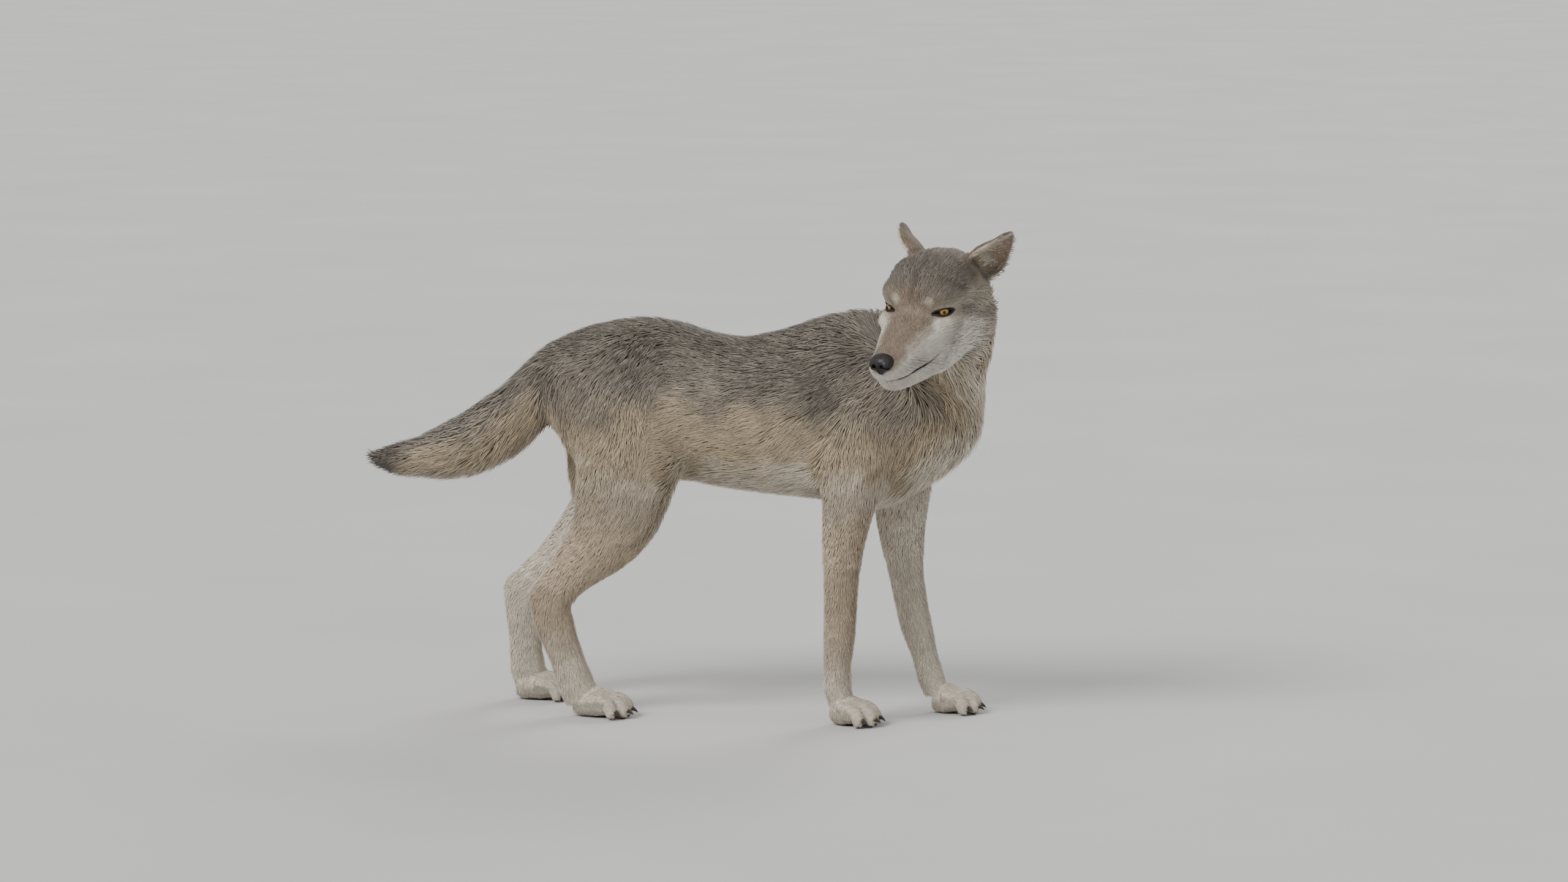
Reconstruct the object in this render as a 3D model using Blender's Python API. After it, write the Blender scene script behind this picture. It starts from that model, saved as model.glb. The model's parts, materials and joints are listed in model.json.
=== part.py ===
"""A grey wolf at life size, standing still and looking back over its right shoulder.

The animal is modelled whole, coat included: tapering tubes along the spine and limbs and rounded
masses for muscles, cheeks and toes, fused by a voxel remesh and thinned to broad facets. Thin cuts
then part it into the pieces a person would name. The eyes, nose leather and claws are let in.
+X is the way the trunk faces, +Y its left side, +Z up. Metres.
"""

import math

import bmesh
import bpy
import numpy as np
from mathutils import Matrix, Vector

LEFT, RIGHT = 1, -1

# ---------------------------------------------------------------- driving dimensions
# Rows of a tube: x, y, z of the ring's centre, its half width and its half height.
TRUNK = [
    (-0.372, 0, 0.672, 0.045, 0.055),
    (-0.335, 0, 0.658, 0.082, 0.102),
    (-0.250, 0, 0.632, 0.106, 0.147),
    (-0.150, 0, 0.617, 0.112, 0.160),
    (-0.060, 0, 0.602, 0.112, 0.150),
    (0.020, 0, 0.591, 0.118, 0.153),
    (0.120, 0, 0.594, 0.122, 0.167),
    (0.200, 0, 0.603, 0.120, 0.187),
    (0.280, 0, 0.603, 0.114, 0.198),
    (0.352, 0, 0.604, 0.106, 0.164),
    (0.412, 0, 0.610, 0.092, 0.116),
    (0.455, 0, 0.624, 0.066, 0.074),
    (0.475, 0, 0.632, 0.040, 0.044),
]
NECK = [
    (0.220, 0, 0.610, 0.098, 0.150),
    (0.300, 0, 0.662, 0.098, 0.135),
    (0.365, 0, 0.700, 0.096, 0.126),
    (0.410, -0.012, 0.744, 0.093, 0.112),
    (0.430, -0.042, 0.788, 0.090, 0.098),
    (0.432, -0.078, 0.818, 0.080, 0.082),
    (0.420, -0.110, 0.828, 0.055, 0.056),
]
TAIL = [
    (-0.300, 0, 0.715, 0.040, 0.040),
    (-0.345, 0, 0.680, 0.046, 0.054),
    (-0.400, 0, 0.616, 0.052, 0.064),
    (-0.450, 0, 0.566, 0.056, 0.070),
    (-0.510, 0, 0.527, 0.056, 0.068),
    (-0.560, 0, 0.505, 0.052, 0.060),
    (-0.620, 0, 0.490, 0.043, 0.047),
    (-0.680, 0, 0.485, 0.032, 0.034),
    (-0.716, 0, 0.486, 0.022, 0.024),
    (-0.740, 0, 0.490, 0.009, 0.010),
]
FRONT_RIGHT = [
    (0.262, -0.074, 0.640, 0.044, 0.080),
    (0.258, -0.084, 0.560, 0.047, 0.080),
    (0.247, -0.087, 0.480, 0.046, 0.066),
    (0.241, -0.088, 0.430, 0.042, 0.055),
    (0.230, -0.088, 0.350, 0.036, 0.044),
    (0.226, -0.087, 0.280, 0.032, 0.039),
    (0.224, -0.086, 0.210, 0.030, 0.036),
    (0.222, -0.086, 0.165, 0.031, 0.035),
    (0.219, -0.086, 0.120, 0.027, 0.031),
    (0.219, -0.086, 0.075, 0.028, 0.030),
    (0.228, -0.086, 0.040, 0.026, 0.026),
]
FRONT_LEFT = [
    (0.290, 0.074, 0.640, 0.044, 0.080),
    (0.302, 0.084, 0.560, 0.047, 0.082),
    (0.309, 0.087, 0.480, 0.046, 0.072),
    (0.312, 0.088, 0.420, 0.042, 0.060),
    (0.314, 0.088, 0.350, 0.037, 0.048),
    (0.322, 0.087, 0.280, 0.033, 0.039),
    (0.335, 0.086, 0.205, 0.031, 0.036),
    (0.345, 0.086, 0.165, 0.031, 0.035),
    (0.358, 0.086, 0.120, 0.027, 0.030),
    (0.371, 0.086, 0.075, 0.028, 0.029),
    (0.385, 0.086, 0.040, 0.026, 0.026),
]
HIND_RIGHT = [
    (-0.215, -0.062, 0.690, 0.045, 0.105),
    (-0.192, -0.080, 0.610, 0.056, 0.130),
    (-0.186, -0.088, 0.530, 0.057, 0.118),
    (-0.199, -0.091, 0.450, 0.051, 0.101),
    (-0.220, -0.092, 0.385, 0.045, 0.087),
    (-0.252, -0.090, 0.337, 0.039, 0.071),
    (-0.290, -0.088, 0.298, 0.033, 0.055),
    (-0.325, -0.086, 0.262, 0.029, 0.046),
    (-0.347, -0.086, 0.225, 0.028, 0.047),
    (-0.343, -0.086, 0.190, 0.026, 0.045),
    (-0.328, -0.086, 0.145, 0.025, 0.041),
    (-0.311, -0.086, 0.100, 0.026, 0.038),
    (-0.298, -0.086, 0.066, 0.030, 0.038),
    (-0.284, -0.086, 0.036, 0.028, 0.036),
]
HIND_LEFT = [
    (-0.215, 0.062, 0.690, 0.045, 0.105),
    (-0.205, 0.080, 0.610, 0.056, 0.130),
    (-0.232, 0.088, 0.530, 0.057, 0.135),
    (-0.252, 0.091, 0.450, 0.051, 0.114),
    (-0.270, 0.092, 0.385, 0.045, 0.084),
    (-0.312, 0.090, 0.337, 0.039, 0.069),
    (-0.362, 0.088, 0.291, 0.033, 0.052),
    (-0.408, 0.086, 0.250, 0.029, 0.044),
    (-0.440, 0.086, 0.215, 0.028, 0.047),
    (-0.443, 0.086, 0.180, 0.026, 0.043),
    (-0.441, 0.086, 0.140, 0.025, 0.039),
    (-0.440, 0.086, 0.100, 0.026, 0.037),
    (-0.436, 0.086, 0.066, 0.030, 0.037),
    (-0.426, 0.086, 0.036, 0.028, 0.036),
]
# Rounded masses on the trunk: x, y (for the left side), z, and three half axes.
MUSCLES = [
    (0.240, 0.064, 0.650, 0.085, 0.047, 0.115),   # shoulder blade
    (0.325, 0.064, 0.560, 0.070, 0.047, 0.080),   # point of the shoulder
    (0.408, 0.010, 0.652, 0.086, 0.076, 0.096),   # breast
    (-0.215, 0.054, 0.690, 0.095, 0.052, 0.075),  # haunch
    (-0.296, 0.052, 0.600, 0.052, 0.050, 0.110),  # back of the thigh
]
HOCK_POINTS = [(-0.375, -0.086, 0.236, 0.024), (-0.467, 0.086, 0.226, 0.024)]

# Paws: centre on the floor, heading, size beside the front paw's.
PAWS = {
    "front_right": (0.244, -0.087, -8, 1.00),
    "front_left": (0.413, 0.087, 2, 1.00),
    "hind_right": (-0.244, -0.087, -5, 1.00),
    "hind_left": (-0.400, 0.087, 4, 1.00),
}
HEEL = {"front": 0.036, "hind": 0.056}          # how far the paw reaches behind its centre
TOES = [(0.047, 0.0125, 0.0145), (0.028, 0.0315, 0.0130)]  # reach, distance from the middle, radius
CLAW_LENGTH, CLAW_RADIUS = 0.015, 0.0032

# The head has its own frame: its origin between the eyes, +X to the nose, +Y its left, +Z its crown.
HEAD_AT = (0.388, -0.185, 0.817)
HEAD_YAW, HEAD_PITCH, HEAD_ROLL = -112, 20, -2
MUZZLE = [
    (-0.070, 0, -0.040, 0.086, 0.060),
    (-0.020, 0, -0.044, 0.080, 0.054),
    (0.030, 0, -0.050, 0.070, 0.047),
    (0.060, 0, -0.053, 0.060, 0.042),
    (0.090, 0, -0.057, 0.049, 0.037),
    (0.120, 0, -0.059, 0.041, 0.031),
    (0.144, 0, -0.059, 0.033, 0.026),
    (0.155, 0, -0.059, 0.023, 0.017),
]
JAW = [
    (-0.080, 0, -0.086, 0.080, 0.044),
    (-0.010, 0, -0.092, 0.078, 0.040),
    (0.060, 0, -0.094, 0.055, 0.030),
    (0.105, 0, -0.094, 0.039, 0.024),
    (0.134, 0, -0.092, 0.026, 0.017),
]
SKULL = [
    (-0.098, 0, 0.007, 0.080, 0.082, 0.071),        # braincase
    (-0.134, 0, 0.004, 0.056, 0.062, 0.060),        # occiput and nape
    (-0.036, 0, 0.000, 0.056, 0.068, 0.047),        # forehead down to the stop
]
CHEEKS = [
    (-0.078, 0.042, 0.022, 0.062, 0.047, 0.044),    # temple
    (-0.028, 0.052, 0.020, 0.035, 0.033, 0.026),    # brow
    (-0.044, 0.051, -0.042, 0.070, 0.042, 0.048),   # cheekbone and jaw muscle
    (-0.104, 0.050, -0.042, 0.062, 0.056, 0.074),   # cheek ruff
    (-0.070, 0.034, -0.086, 0.066, 0.050, 0.040),   # throat
    (0.000, 0.058, -0.028, 0.036, 0.026, 0.027),    # cheekbone under the eye
    (0.112, 0.020, -0.064, 0.034, 0.024, 0.022),    # whisker pad
]
EYE_RADIUS = 0.0158
EYE_AT = (-0.0090, 0.0525, -0.001)
EYE_TURN, EYE_TILT, EYE_ROLL = 38, 2, 14      # outwards, up, and the slant of its corners
EYE_OPENING = (0.0156, 0.0060)                # half length and half height
LID = 0.0024
NOSE_AT = (0.1480, 0, -0.0450)
NOSE_SIZE = (0.0145, 0.0225, 0.0145)
EAR_BASE, EAR_TIP = (-0.128, 0.070, 0.034), (-0.177, 0.123, 0.085)
EAR_HALF_WIDTH, EAR_DEPTH, EAR_WALL = 0.040, 0.034, 0.0090

GAP = 0.0004            # width of the cuts between pieces
RING_POINTS = 28
BODY_VOXEL, HEAD_VOXEL, PAW_VOXEL, NOSE_VOXEL = 0.0045, 0.0026, 0.0020, 0.0012
BODY_TRIANGLES, HEAD_TRIANGLES, PAW_TRIANGLES, NOSE_TRIANGLES = 2500, 1800, 310, 120
FAR = 3.0


# ---------------------------------------------------------------- scene and materials
def clear_scene():
    for obj in list(bpy.data.objects):
        bpy.data.objects.remove(obj)


def linear(code):
    parts = [int(code[i : i + 2], 16) / 255 for i in (0, 2, 4)]
    return [c / 12.92 if c <= 0.04045 else ((c + 0.055) / 1.055) ** 2.4 for c in parts]


def material(name, code, roughness):
    made = bpy.data.materials.new(name)
    made.use_nodes = True
    shader = made.node_tree.nodes["Principled BSDF"]
    shader.inputs["Base Color"].default_value = (*linear(code), 1)
    shader.inputs["Roughness"].default_value = roughness
    return made


# ---------------------------------------------------------------- shapes
def turned(at, yaw=0, pitch=0, roll=0):
    """Yaw about Z, then pitch (down is positive) about the turned Y, then roll about X; degrees."""
    turn = Matrix.Identity(4)
    for angle, axis in ((yaw, "Z"), (pitch, "Y"), (roll, "X")):
        turn = turn @ Matrix.Rotation(math.radians(angle), 4, axis)
    return Matrix.Translation(at) @ turn


def smooth_path(stations, steps):
    """Points on the Catmull-Rom curve through the stations; a station's sizes are carried along."""
    rows = np.array(stations, float)
    padded = np.vstack([2 * rows[0] - rows[1], rows, 2 * rows[-1] - rows[-2]])
    t = (np.arange(steps) / steps)[:, None]
    made = []
    for before, start, end, after in zip(padded, padded[1:], padded[2:], padded[3:]):
        bend = 2 * before - 5 * start + 4 * end - after
        twist = 3 * start - before - 3 * end + after
        made.append(0.5 * (2 * start + (end - before) * t + bend * t**2 + twist * t**3))
    return np.vstack(made + [rows[-1:]])


def tube(bm, stations, up=(0, 0, 1), frame=Matrix.Identity(4), steps=3, points=RING_POINTS):
    """A closed tube of oval rings through the stations."""
    rows = smooth_path(stations, steps)
    centres = [Vector(row[:3]) for row in rows]
    turns = [2 * math.pi * k / points for k in range(points)]
    rings = []
    for i, row in enumerate(rows):
        along = (centres[min(i + 1, len(rows) - 1)] - centres[max(i - 1, 0)]).normalized()
        side = Vector(up).cross(along).normalized()
        rise = along.cross(side)
        rings.append(
            [
                bm.verts.new(
                    frame @ (centres[i] + side * row[3] * math.cos(a) + rise * row[4] * math.sin(a))
                )
                for a in turns
            ]
        )
    faces = [bm.faces.new(rings[0]), bm.faces.new(rings[-1])]
    for ring, following in zip(rings, rings[1:]):
        for k in range(points):
            j = (k + 1) % points
            faces.append(bm.faces.new((ring[k], ring[j], following[j], following[k])))
    bmesh.ops.recalc_face_normals(bm, faces=faces)


def ball(bm, at, radii, frame=Matrix.Identity(4), segments=20):
    where = frame @ Matrix.Translation(at) @ Matrix.Diagonal((*radii, 1))
    made = bmesh.ops.create_uvsphere(bm, u_segments=segments, v_segments=segments // 2, radius=1)
    bmesh.ops.transform(bm, matrix=where, verts=made["verts"])


def placed(name, bm, helper=False):
    mesh = bpy.data.meshes.new(name)
    bm.to_mesh(mesh)
    bm.free()
    obj = bpy.data.objects.new(name, mesh)
    bpy.context.scene.collection.objects.link(obj)
    if helper:
        obj.hide_render = True
        obj.display_type = "WIRE"
    return obj


def copied(obj, name):
    made = bpy.data.objects.new(name, obj.data.copy())
    bpy.context.scene.collection.objects.link(made)
    return made


def baked(obj):
    """Replaces an object's mesh by what its modifiers make of it."""
    graph = bpy.context.evaluated_depsgraph_get()
    mesh = bpy.data.meshes.new_from_object(obj.evaluated_get(graph), depsgraph=graph)
    obj.modifiers.clear()
    obj.data = mesh
    return obj


def fused(obj, voxel, rounds, firmness=None):
    """One closed skin round everything in the object, evened out; firm parts are evened out less."""
    remesh = obj.modifiers.new("Fuse", "REMESH")
    remesh.mode = "VOXEL"
    remesh.voxel_size = voxel
    baked(obj)
    smooth = obj.modifiers.new("Even", "SMOOTH")
    smooth.factor = 0.5
    smooth.iterations = rounds
    if firmness:
        soft = obj.vertex_groups.new(name="soft")
        for v in obj.data.vertices:
            soft.add([v.index], 1 - firmness(v.co), "REPLACE")
        smooth.vertex_group = "soft"
    return baked(obj)


def thinned(obj, triangles):
    """The same shape in about this many broad facets."""
    full = sum(len(p.vertices) - 2 for p in obj.data.polygons)
    thin = obj.modifiers.new("Thin", "DECIMATE")
    thin.ratio = triangles / full
    thin.use_collapse_triangulate = True
    return baked(obj)


def combined(obj, cutter, operation):
    step = obj.modifiers.new("Cut", "BOOLEAN")
    step.operation = operation
    step.object = cutter
    step.solver = "EXACT"
    return baked(obj)


def wedge(planes, grown):
    """The convex block on the inner side of planes given as (point, outward direction)."""
    bm = bmesh.new()
    bmesh.ops.create_cube(bm, size=2 * FAR)
    for point, outward in planes:
        outward = Vector(outward).normalized()
        geometry = bm.verts[:] + bm.edges[:] + bm.faces[:]
        cut = bmesh.ops.bisect_plane(
            bm, geom=geometry, plane_co=Vector(point) + outward * grown, plane_no=outward, clear_outer=True
        )
        edges = [e for e in cut["geom_cut"] if isinstance(e, bmesh.types.BMEdge)]
        bmesh.ops.contextual_create(bm, geom=edges)
    bmesh.ops.recalc_face_normals(bm, faces=bm.faces)
    return placed("wedge", bm, helper=True)


def part_off(whole, name, planes):
    """Takes the piece inside the planes off the whole, leaving a thin gap; returns the piece."""
    inner, outer = wedge(planes, 0), wedge(planes, GAP)
    piece = combined(copied(whole, name), inner, "INTERSECT")
    combined(whole, outer, "DIFFERENCE")
    for helper in (inner, outer):
        bpy.data.objects.remove(helper)
    return piece


def in_frame(frame, planes):
    return [(frame @ Vector(point), frame.to_3x3() @ Vector(outward)) for point, outward in planes]


# ---------------------------------------------------------------- the body
LEGS = {
    "front_right": (FRONT_RIGHT, RIGHT),
    "front_left": (FRONT_LEFT, LEFT),
    "hind_right": (HIND_RIGHT, RIGHT),
    "hind_left": (HIND_LEFT, LEFT),
}


def body():
    bm = bmesh.new()
    head_masses(bm, whole=False)
    tube(bm, NECK)
    tube(bm, TRUNK)
    tube(bm, TAIL)
    for stations, _ in LEGS.values():
        tube(bm, stations, up=(1, 0, 0))
    for x, y, z, *radii in MUSCLES:
        for side in (LEFT, RIGHT):
            ball(bm, (x, side * y, z), radii)
    for x, y, z, radius in HOCK_POINTS:
        ball(bm, (x, y, z), (radius, radius * 0.8, radius * 1.3))
    whole = fused(placed("trunk", bm), BODY_VOXEL, 30, lambda co: 0.9 * min(max((0.46 - co.z) / 0.08, 0), 1))
    return thinned(whole, BODY_TRIANGLES)


# ---------------------------------------------------------------- the head
HEAD = turned(HEAD_AT, HEAD_YAW, HEAD_PITCH, HEAD_ROLL)


def eye_frame(side):
    x, y, z = EYE_AT
    return HEAD @ turned((x, side * y, z), side * EYE_TURN, -EYE_TILT, side * EYE_ROLL)


def ear_shell(bm, side):
    """A leaf folded into a cup that opens forwards and outwards, as a closed shell."""
    base = Vector((EAR_BASE[0], side * EAR_BASE[1], EAR_BASE[2]))
    tip = Vector((EAR_TIP[0], side * EAR_TIP[1], EAR_TIP[2]))
    rise = (tip - base).normalized()
    opening = Vector((0.42, side * 0.90, -0.10))
    opening = (opening - rise * opening.dot(rise)).normalized()
    across = rise.cross(opening).normalized()
    rows, columns = 14, 13
    front, back = [], []
    for i in range(rows):
        along = 1.22 * i / (rows - 1) - 0.22
        t = max(along, 0)
        width = EAR_HALF_WIDTH * (1 - t**1.9) ** 0.62 * (0.86 + 0.14 * math.sin(math.pi * min(t * 1.6, 1)))
        width = max(width, 0.005)
        depth = EAR_DEPTH * width / EAR_HALF_WIDTH
        centre = base.lerp(tip, along) + opening * (0.006 * math.sin(math.pi * t))
        wall = EAR_WALL * (1 - 0.25 * t)
        for layer, offset in ((front, 0.0), (back, wall)):
            row = []
            for k in range(columns):
                s = 2 * k / (columns - 1) - 1
                a = s * math.radians(82)
                point = centre + across * (width + offset * 0.45) * math.sin(a) / math.sin(math.radians(82))
                point += opening * (depth * (0.35 - math.cos(a)) - offset * math.cos(a * 0.6))
                row.append(bm.verts.new(HEAD @ point))
            layer.append(row)
    faces = []
    for i in range(rows - 1):
        for k in range(columns - 1):
            for layer in (front, back):
                faces.append(
                    bm.faces.new((layer[i][k], layer[i][k + 1], layer[i + 1][k + 1], layer[i + 1][k]))
                )
        for k in (0, columns - 1):
            faces.append(bm.faces.new((front[i][k], front[i + 1][k], back[i + 1][k], back[i][k])))
    for i in (0, rows - 1):
        for k in range(columns - 1):
            faces.append(bm.faces.new((front[i][k], front[i][k + 1], back[i][k + 1], back[i][k])))
    bmesh.ops.recalc_face_normals(bm, faces=faces)


def head_masses(bm, whole):
    """The braincase and cheeks; for the body only the masses that reach into the neck."""
    for row, sides in [(row, (LEFT,)) for row in SKULL] + [(row, (LEFT, RIGHT)) for row in CHEEKS]:
        x, y, z, *radii = row
        if whole or x - radii[0] < HEAD_PLANE[0][0][0]:
            for side in sides:
                ball(bm, (x, side * y, z), radii, HEAD)


def head():
    bm = bmesh.new()
    tube(bm, NECK)
    head_masses(bm, whole=True)
    tube(bm, MUZZLE, frame=HEAD)
    tube(bm, JAW, frame=HEAD)
    to_head = HEAD.inverted()
    rough = fused(placed("head", bm), HEAD_VOXEL, 40, lambda co: min(max((to_head @ co).x * 9, 0), 0.75))
    wider = [(Vector(point) + Vector(outward) * 0.008, outward) for point, outward in HEAD_PLANE + HEAD_SIDES]
    keep(rough, in_frame(HEAD, wider))
    bm = bmesh.new()
    bm.from_mesh(rough.data)
    bpy.data.objects.remove(rough)
    for side in (LEFT, RIGHT):
        ball(bm, (0, 0, 0), (EYE_RADIUS + LID,) * 3, eye_frame(side))
        ear_shell(bm, side)
    return thinned(fused(placed("head", bm), HEAD_VOXEL, 4), HEAD_TRIANGLES)


def eye_ball(name, side, radius, helper=False):
    bm = bmesh.new()
    ball(bm, (0, 0, 0), (radius,) * 3, eye_frame(side) @ turned((0, 0, 0), pitch=90), segments=14)
    return placed(name, bm, helper)


def eye_slit(side):
    """An almond-shaped plug pointing out of the eye, to open the lids with."""
    bm = bmesh.new()
    half_length, half_height = EYE_OPENING
    count = 24
    rings = []
    for x in (0.004, 0.030):
        grow = 1 + x * 8
        ring = []
        for k in range(count):
            a = 2 * math.pi * k / count
            y = half_length * math.cos(a)
            z = half_height * math.sin(a) * (1 - 0.35 * math.cos(a) ** 2)
            ring.append(bm.verts.new(eye_frame(side) @ Vector((x, y * grow, z * grow))))
        rings.append(ring)
    bm.faces.new(rings[0])
    bm.faces.new(rings[1])
    for k in range(count):
        j = (k + 1) % count
        bm.faces.new((rings[0][k], rings[0][j], rings[1][j], rings[1][k]))
    bmesh.ops.recalc_face_normals(bm, faces=bm.faces)
    return placed("slit", bm, helper=True)


def nose():
    bm = bmesh.new()
    ball(bm, NOSE_AT, NOSE_SIZE, HEAD)
    x, y, z = NOSE_AT
    ball(bm, (x - 0.006, y, z + 0.002), [1.08 * r for r in NOSE_SIZE], HEAD)
    ball(bm, (x + 0.002, y, z - 0.010), (0.010, 0.0085, 0.012), HEAD)
    made = thinned(fused(placed("nose", bm), NOSE_VOXEL, 2), NOSE_TRIANGLES)
    seat = copied(made, "seat")
    centre = HEAD @ Vector(NOSE_AT)
    grow = 1 + GAP / min(NOSE_SIZE) * 1.5
    seat.data.transform(Matrix.Translation(centre) @ Matrix.Scale(grow, 4) @ Matrix.Translation(-centre))
    for side in (LEFT, RIGHT):
        bm = bmesh.new()
        ball(bm, (x + 0.0125, side * 0.0085, z - 0.001), (0.0085, 0.0042, 0.0038), HEAD, segments=12)
        ball(bm, (x + 0.0085, side * 0.0150, z - 0.0035), (0.0075, 0.0060, 0.0020), HEAD, segments=12)
        bits = placed("nostril", bm, helper=True)
        bits = thinned(fused(bits, 0.0006, 1), 50)
        combined(made, bits, "DIFFERENCE")
        bpy.data.objects.remove(bits)
    return made, seat


# ---------------------------------------------------------------- the paws
def paw_frame(key):
    x, y, heading, size = PAWS[key]
    return turned((x, y, 0), heading) @ Matrix.Diagonal((size, size, size, 1))


def toes_of():
    for reach, offset, radius in TOES:
        for side in (LEFT, RIGHT):
            yield reach, side * offset, radius


def paw(key):
    frame = paw_frame(key)
    heel = HEEL[key.split("_")[0]]
    bm = bmesh.new()
    tube(bm, LEGS[key][0][-4:], up=(1, 0, 0))
    ball(bm, (-0.010, 0, 0.010), (0.025, 0.023, 0.014), frame)
    tube(
        bm,
        [
            (-heel, 0, 0.034, 0.024, 0.026),
            (-heel + 0.018, 0, 0.032, 0.032, 0.031),
            (-0.006, 0, 0.031, 0.037, 0.031),
            (0.016, 0, 0.027, 0.036, 0.025),
            (0.030, 0, 0.024, 0.028, 0.019),
        ],
        frame=frame,
    )
    for reach, across, radius in toes_of():
        splay = across * 0.12
        tube(
            bm,
            [
                (reach - 0.046, across * 0.86, 0.037, radius * 0.90, radius),
                (reach - 0.024, across * 0.95, 0.038, radius, radius),
                (reach - 0.007, across, 0.028, radius, radius * 1.05),
                (reach + 0.001, across + splay, 0.0125, radius * 0.97, radius * 1.05),
                (reach + 0.007, across + splay, 0.0095, radius * 0.72, radius * 0.85),
            ],
            frame=frame,
        )
    return thinned(fused(placed("paw_" + key, bm), PAW_VOXEL, 2), PAW_TRIANGLES)


def claw(name, key, index, grown=0.0, helper=False):
    """A bent cone let into the end of a toe, pointing forwards and down."""
    reach, across, radius = list(toes_of())[index]
    steps = [(-0.45, 0.80), (0.2, 1.0), (0.62, 0.62), (0.95, 0.18)]
    rows = []
    for t, share in steps:
        x = reach + radius * 0.55 + CLAW_LENGTH * t * 0.80
        z = 0.0165 - CLAW_LENGTH * (0.22 * max(t, 0) + 0.30 * max(t, 0) ** 2)
        size = CLAW_RADIUS * share + grown
        end = grown if share == steps[-1][1] else -grown if t < 0 else 0
        rows.append((x + end, across * 1.12, z, size, size * 1.25))
    bm = bmesh.new()
    tube(bm, rows, frame=paw_frame(key), steps=1, points=5)
    return placed(name, bm, helper)


# ---------------------------------------------------------------- parting
PAW_TOP = 0.078
HEAD_PLANE = [((-0.146, 0, -0.030), (-0.94, 0, -0.34))]
HEAD_SIDES = [((0, 0.108, 0), (0, 1, 0)), ((0, -0.108, 0), (0, -1, 0)), ((0, 0, -0.142), (0, 0, -1))]
NECK_PLANE = [((0.375, 0, 0.695), (-0.637, 0, -0.772))]
TAIL_PLANES = [((-0.352, 0, 0.680), (1, 0, 0.10)), ((0, 0, 0.432), (0, 0, -1))]
JAW_PLANES = [((0.150, 0, -0.0810), (0.02, 0, 1)), ((0.046, 0, -0.080), (-1, 0, -0.35))]
LEG_REACH = {
    "front_right": (0.165, 0.352),
    "front_left": (0.215, 0.405),
    "hind_right": (-0.60, -0.056),
    "hind_left": (-0.60, -0.066),
}


def leg_planes(key):
    """A leg ends above at a sloping plane that rises from the midline, and fore and aft at upright ones."""
    side = LEGS[key][1]
    rear, fore = LEG_REACH[key]
    start, slope = ((0.030, 0.432), (0.79, 0.61)) if key.startswith("front") else ((0.020, 0.455), (0.84, 0.54))
    return [
        ((rear, 0, 0), (-1, 0, 0)),
        ((fore, 0, 0), (1, 0, 0)),
        ((0, side * 0.012, 0), (0, -side, 0)),
        ((0, side * start[0], start[1]), (0, -side * slope[0], slope[1])),
    ]


def ear_planes(side):
    rise = Vector(EAR_TIP) - Vector(EAR_BASE)
    at = Vector(EAR_BASE) + rise * 0.08
    return in_frame(
        HEAD,
        [
            ((at.x, side * at.y, at.z), (-rise.x, -side * rise.y, -rise.z)),
            ((0, side * 0.035, 0), (0, -side, 0)),
        ],
    )


def keep(obj, planes):
    """Cuts away all of the object that lies outside the planes."""
    block = wedge(planes, 0)
    combined(obj, block, "INTERSECT")
    bpy.data.objects.remove(block)
    return obj


def minus(obj, cutter):
    combined(obj, cutter, "DIFFERENCE")
    bpy.data.objects.remove(cutter)


def build_head(nodes):
    skull = head()
    nodes["head"] = skull
    for side, name in ((LEFT, "left"), (RIGHT, "right")):
        nodes["ear_" + name] = part_off(skull, "ear_" + name, ear_planes(side))
    keep(skull, in_frame(HEAD, HEAD_PLANE + HEAD_SIDES))
    for side, name in ((LEFT, "left"), (RIGHT, "right")):
        minus(skull, eye_ball("socket", side, EYE_RADIUS + GAP * 1.5, helper=True))
        minus(skull, eye_slit(side))
        nodes["eye_" + name] = eye_ball("eye_" + name, side, EYE_RADIUS)
    nodes["nose"], seat = nose()
    minus(skull, seat)
    nodes["jaw"] = part_off(skull, "jaw", in_frame(HEAD, JAW_PLANES))


def head_room():
    """The block that holds the head: in front of its plane, and close round it on the other sides."""
    return in_frame(HEAD, HEAD_PLANE + HEAD_SIDES + [((0.016, 0, 0), (1, 0, 0))])


def build_body(nodes):
    trunk = keep(body(), [((0, 0, PAW_TOP + GAP), (0, 0, -1))])
    nodes["trunk"] = trunk
    minus(trunk, wedge(head_room(), GAP))
    nodes["tail"] = part_off(trunk, "tail", TAIL_PLANES)
    for key in LEGS:
        keep_above = leg_planes(key)
        nodes["leg_" + key] = part_off(trunk, "leg_" + key, keep_above)
    nodes["neck"] = part_off(trunk, "neck", NECK_PLANE)


def build_paws(nodes):
    for key in PAWS:
        foot = keep(paw(key), [((0, 0, 0), (0, 0, -1)), ((0, 0, PAW_TOP), (0, 0, 1))])
        nodes["paw_" + key] = foot
        for index in range(4):
            name = "claw_%s_%d" % (key, index + 1)
            minus(foot, claw("seat", key, index, GAP, helper=True))
            nodes[name] = claw(name, key, index)


def build():
    clear_scene()
    nodes = {}
    build_head(nodes)
    build_body(nodes)
    build_paws(nodes)

    fur = material("grey_fur", "8f8473", 0.9)
    pale = material("pale_fur", "b9ab94", 0.9)
    leather = material("nose_leather", "1d1a19", 0.45)
    amber = material("amber_eye", "8c5f22", 0.12)
    horn = material("horn", "2a2522", 0.5)
    finishes = {"leg": pale, "paw": pale, "jaw": pale, "nose": leather, "eye": amber, "claw": horn}

    corners = np.vstack([[v.co for v in obj.data.vertices] for obj in nodes.values()])
    low, high = corners.min(axis=0), corners.max(axis=0)
    shift = Matrix.Translation((-(low[0] + high[0]) / 2, -(low[1] + high[1]) / 2, -low[2]))
    for name, obj in nodes.items():
        obj.name = name
        obj.data.name = name
        obj.data.transform(shift)
        obj.data.materials.clear()
        obj.data.materials.append(finishes.get(name.split("_")[0], fur))


build()
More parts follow.
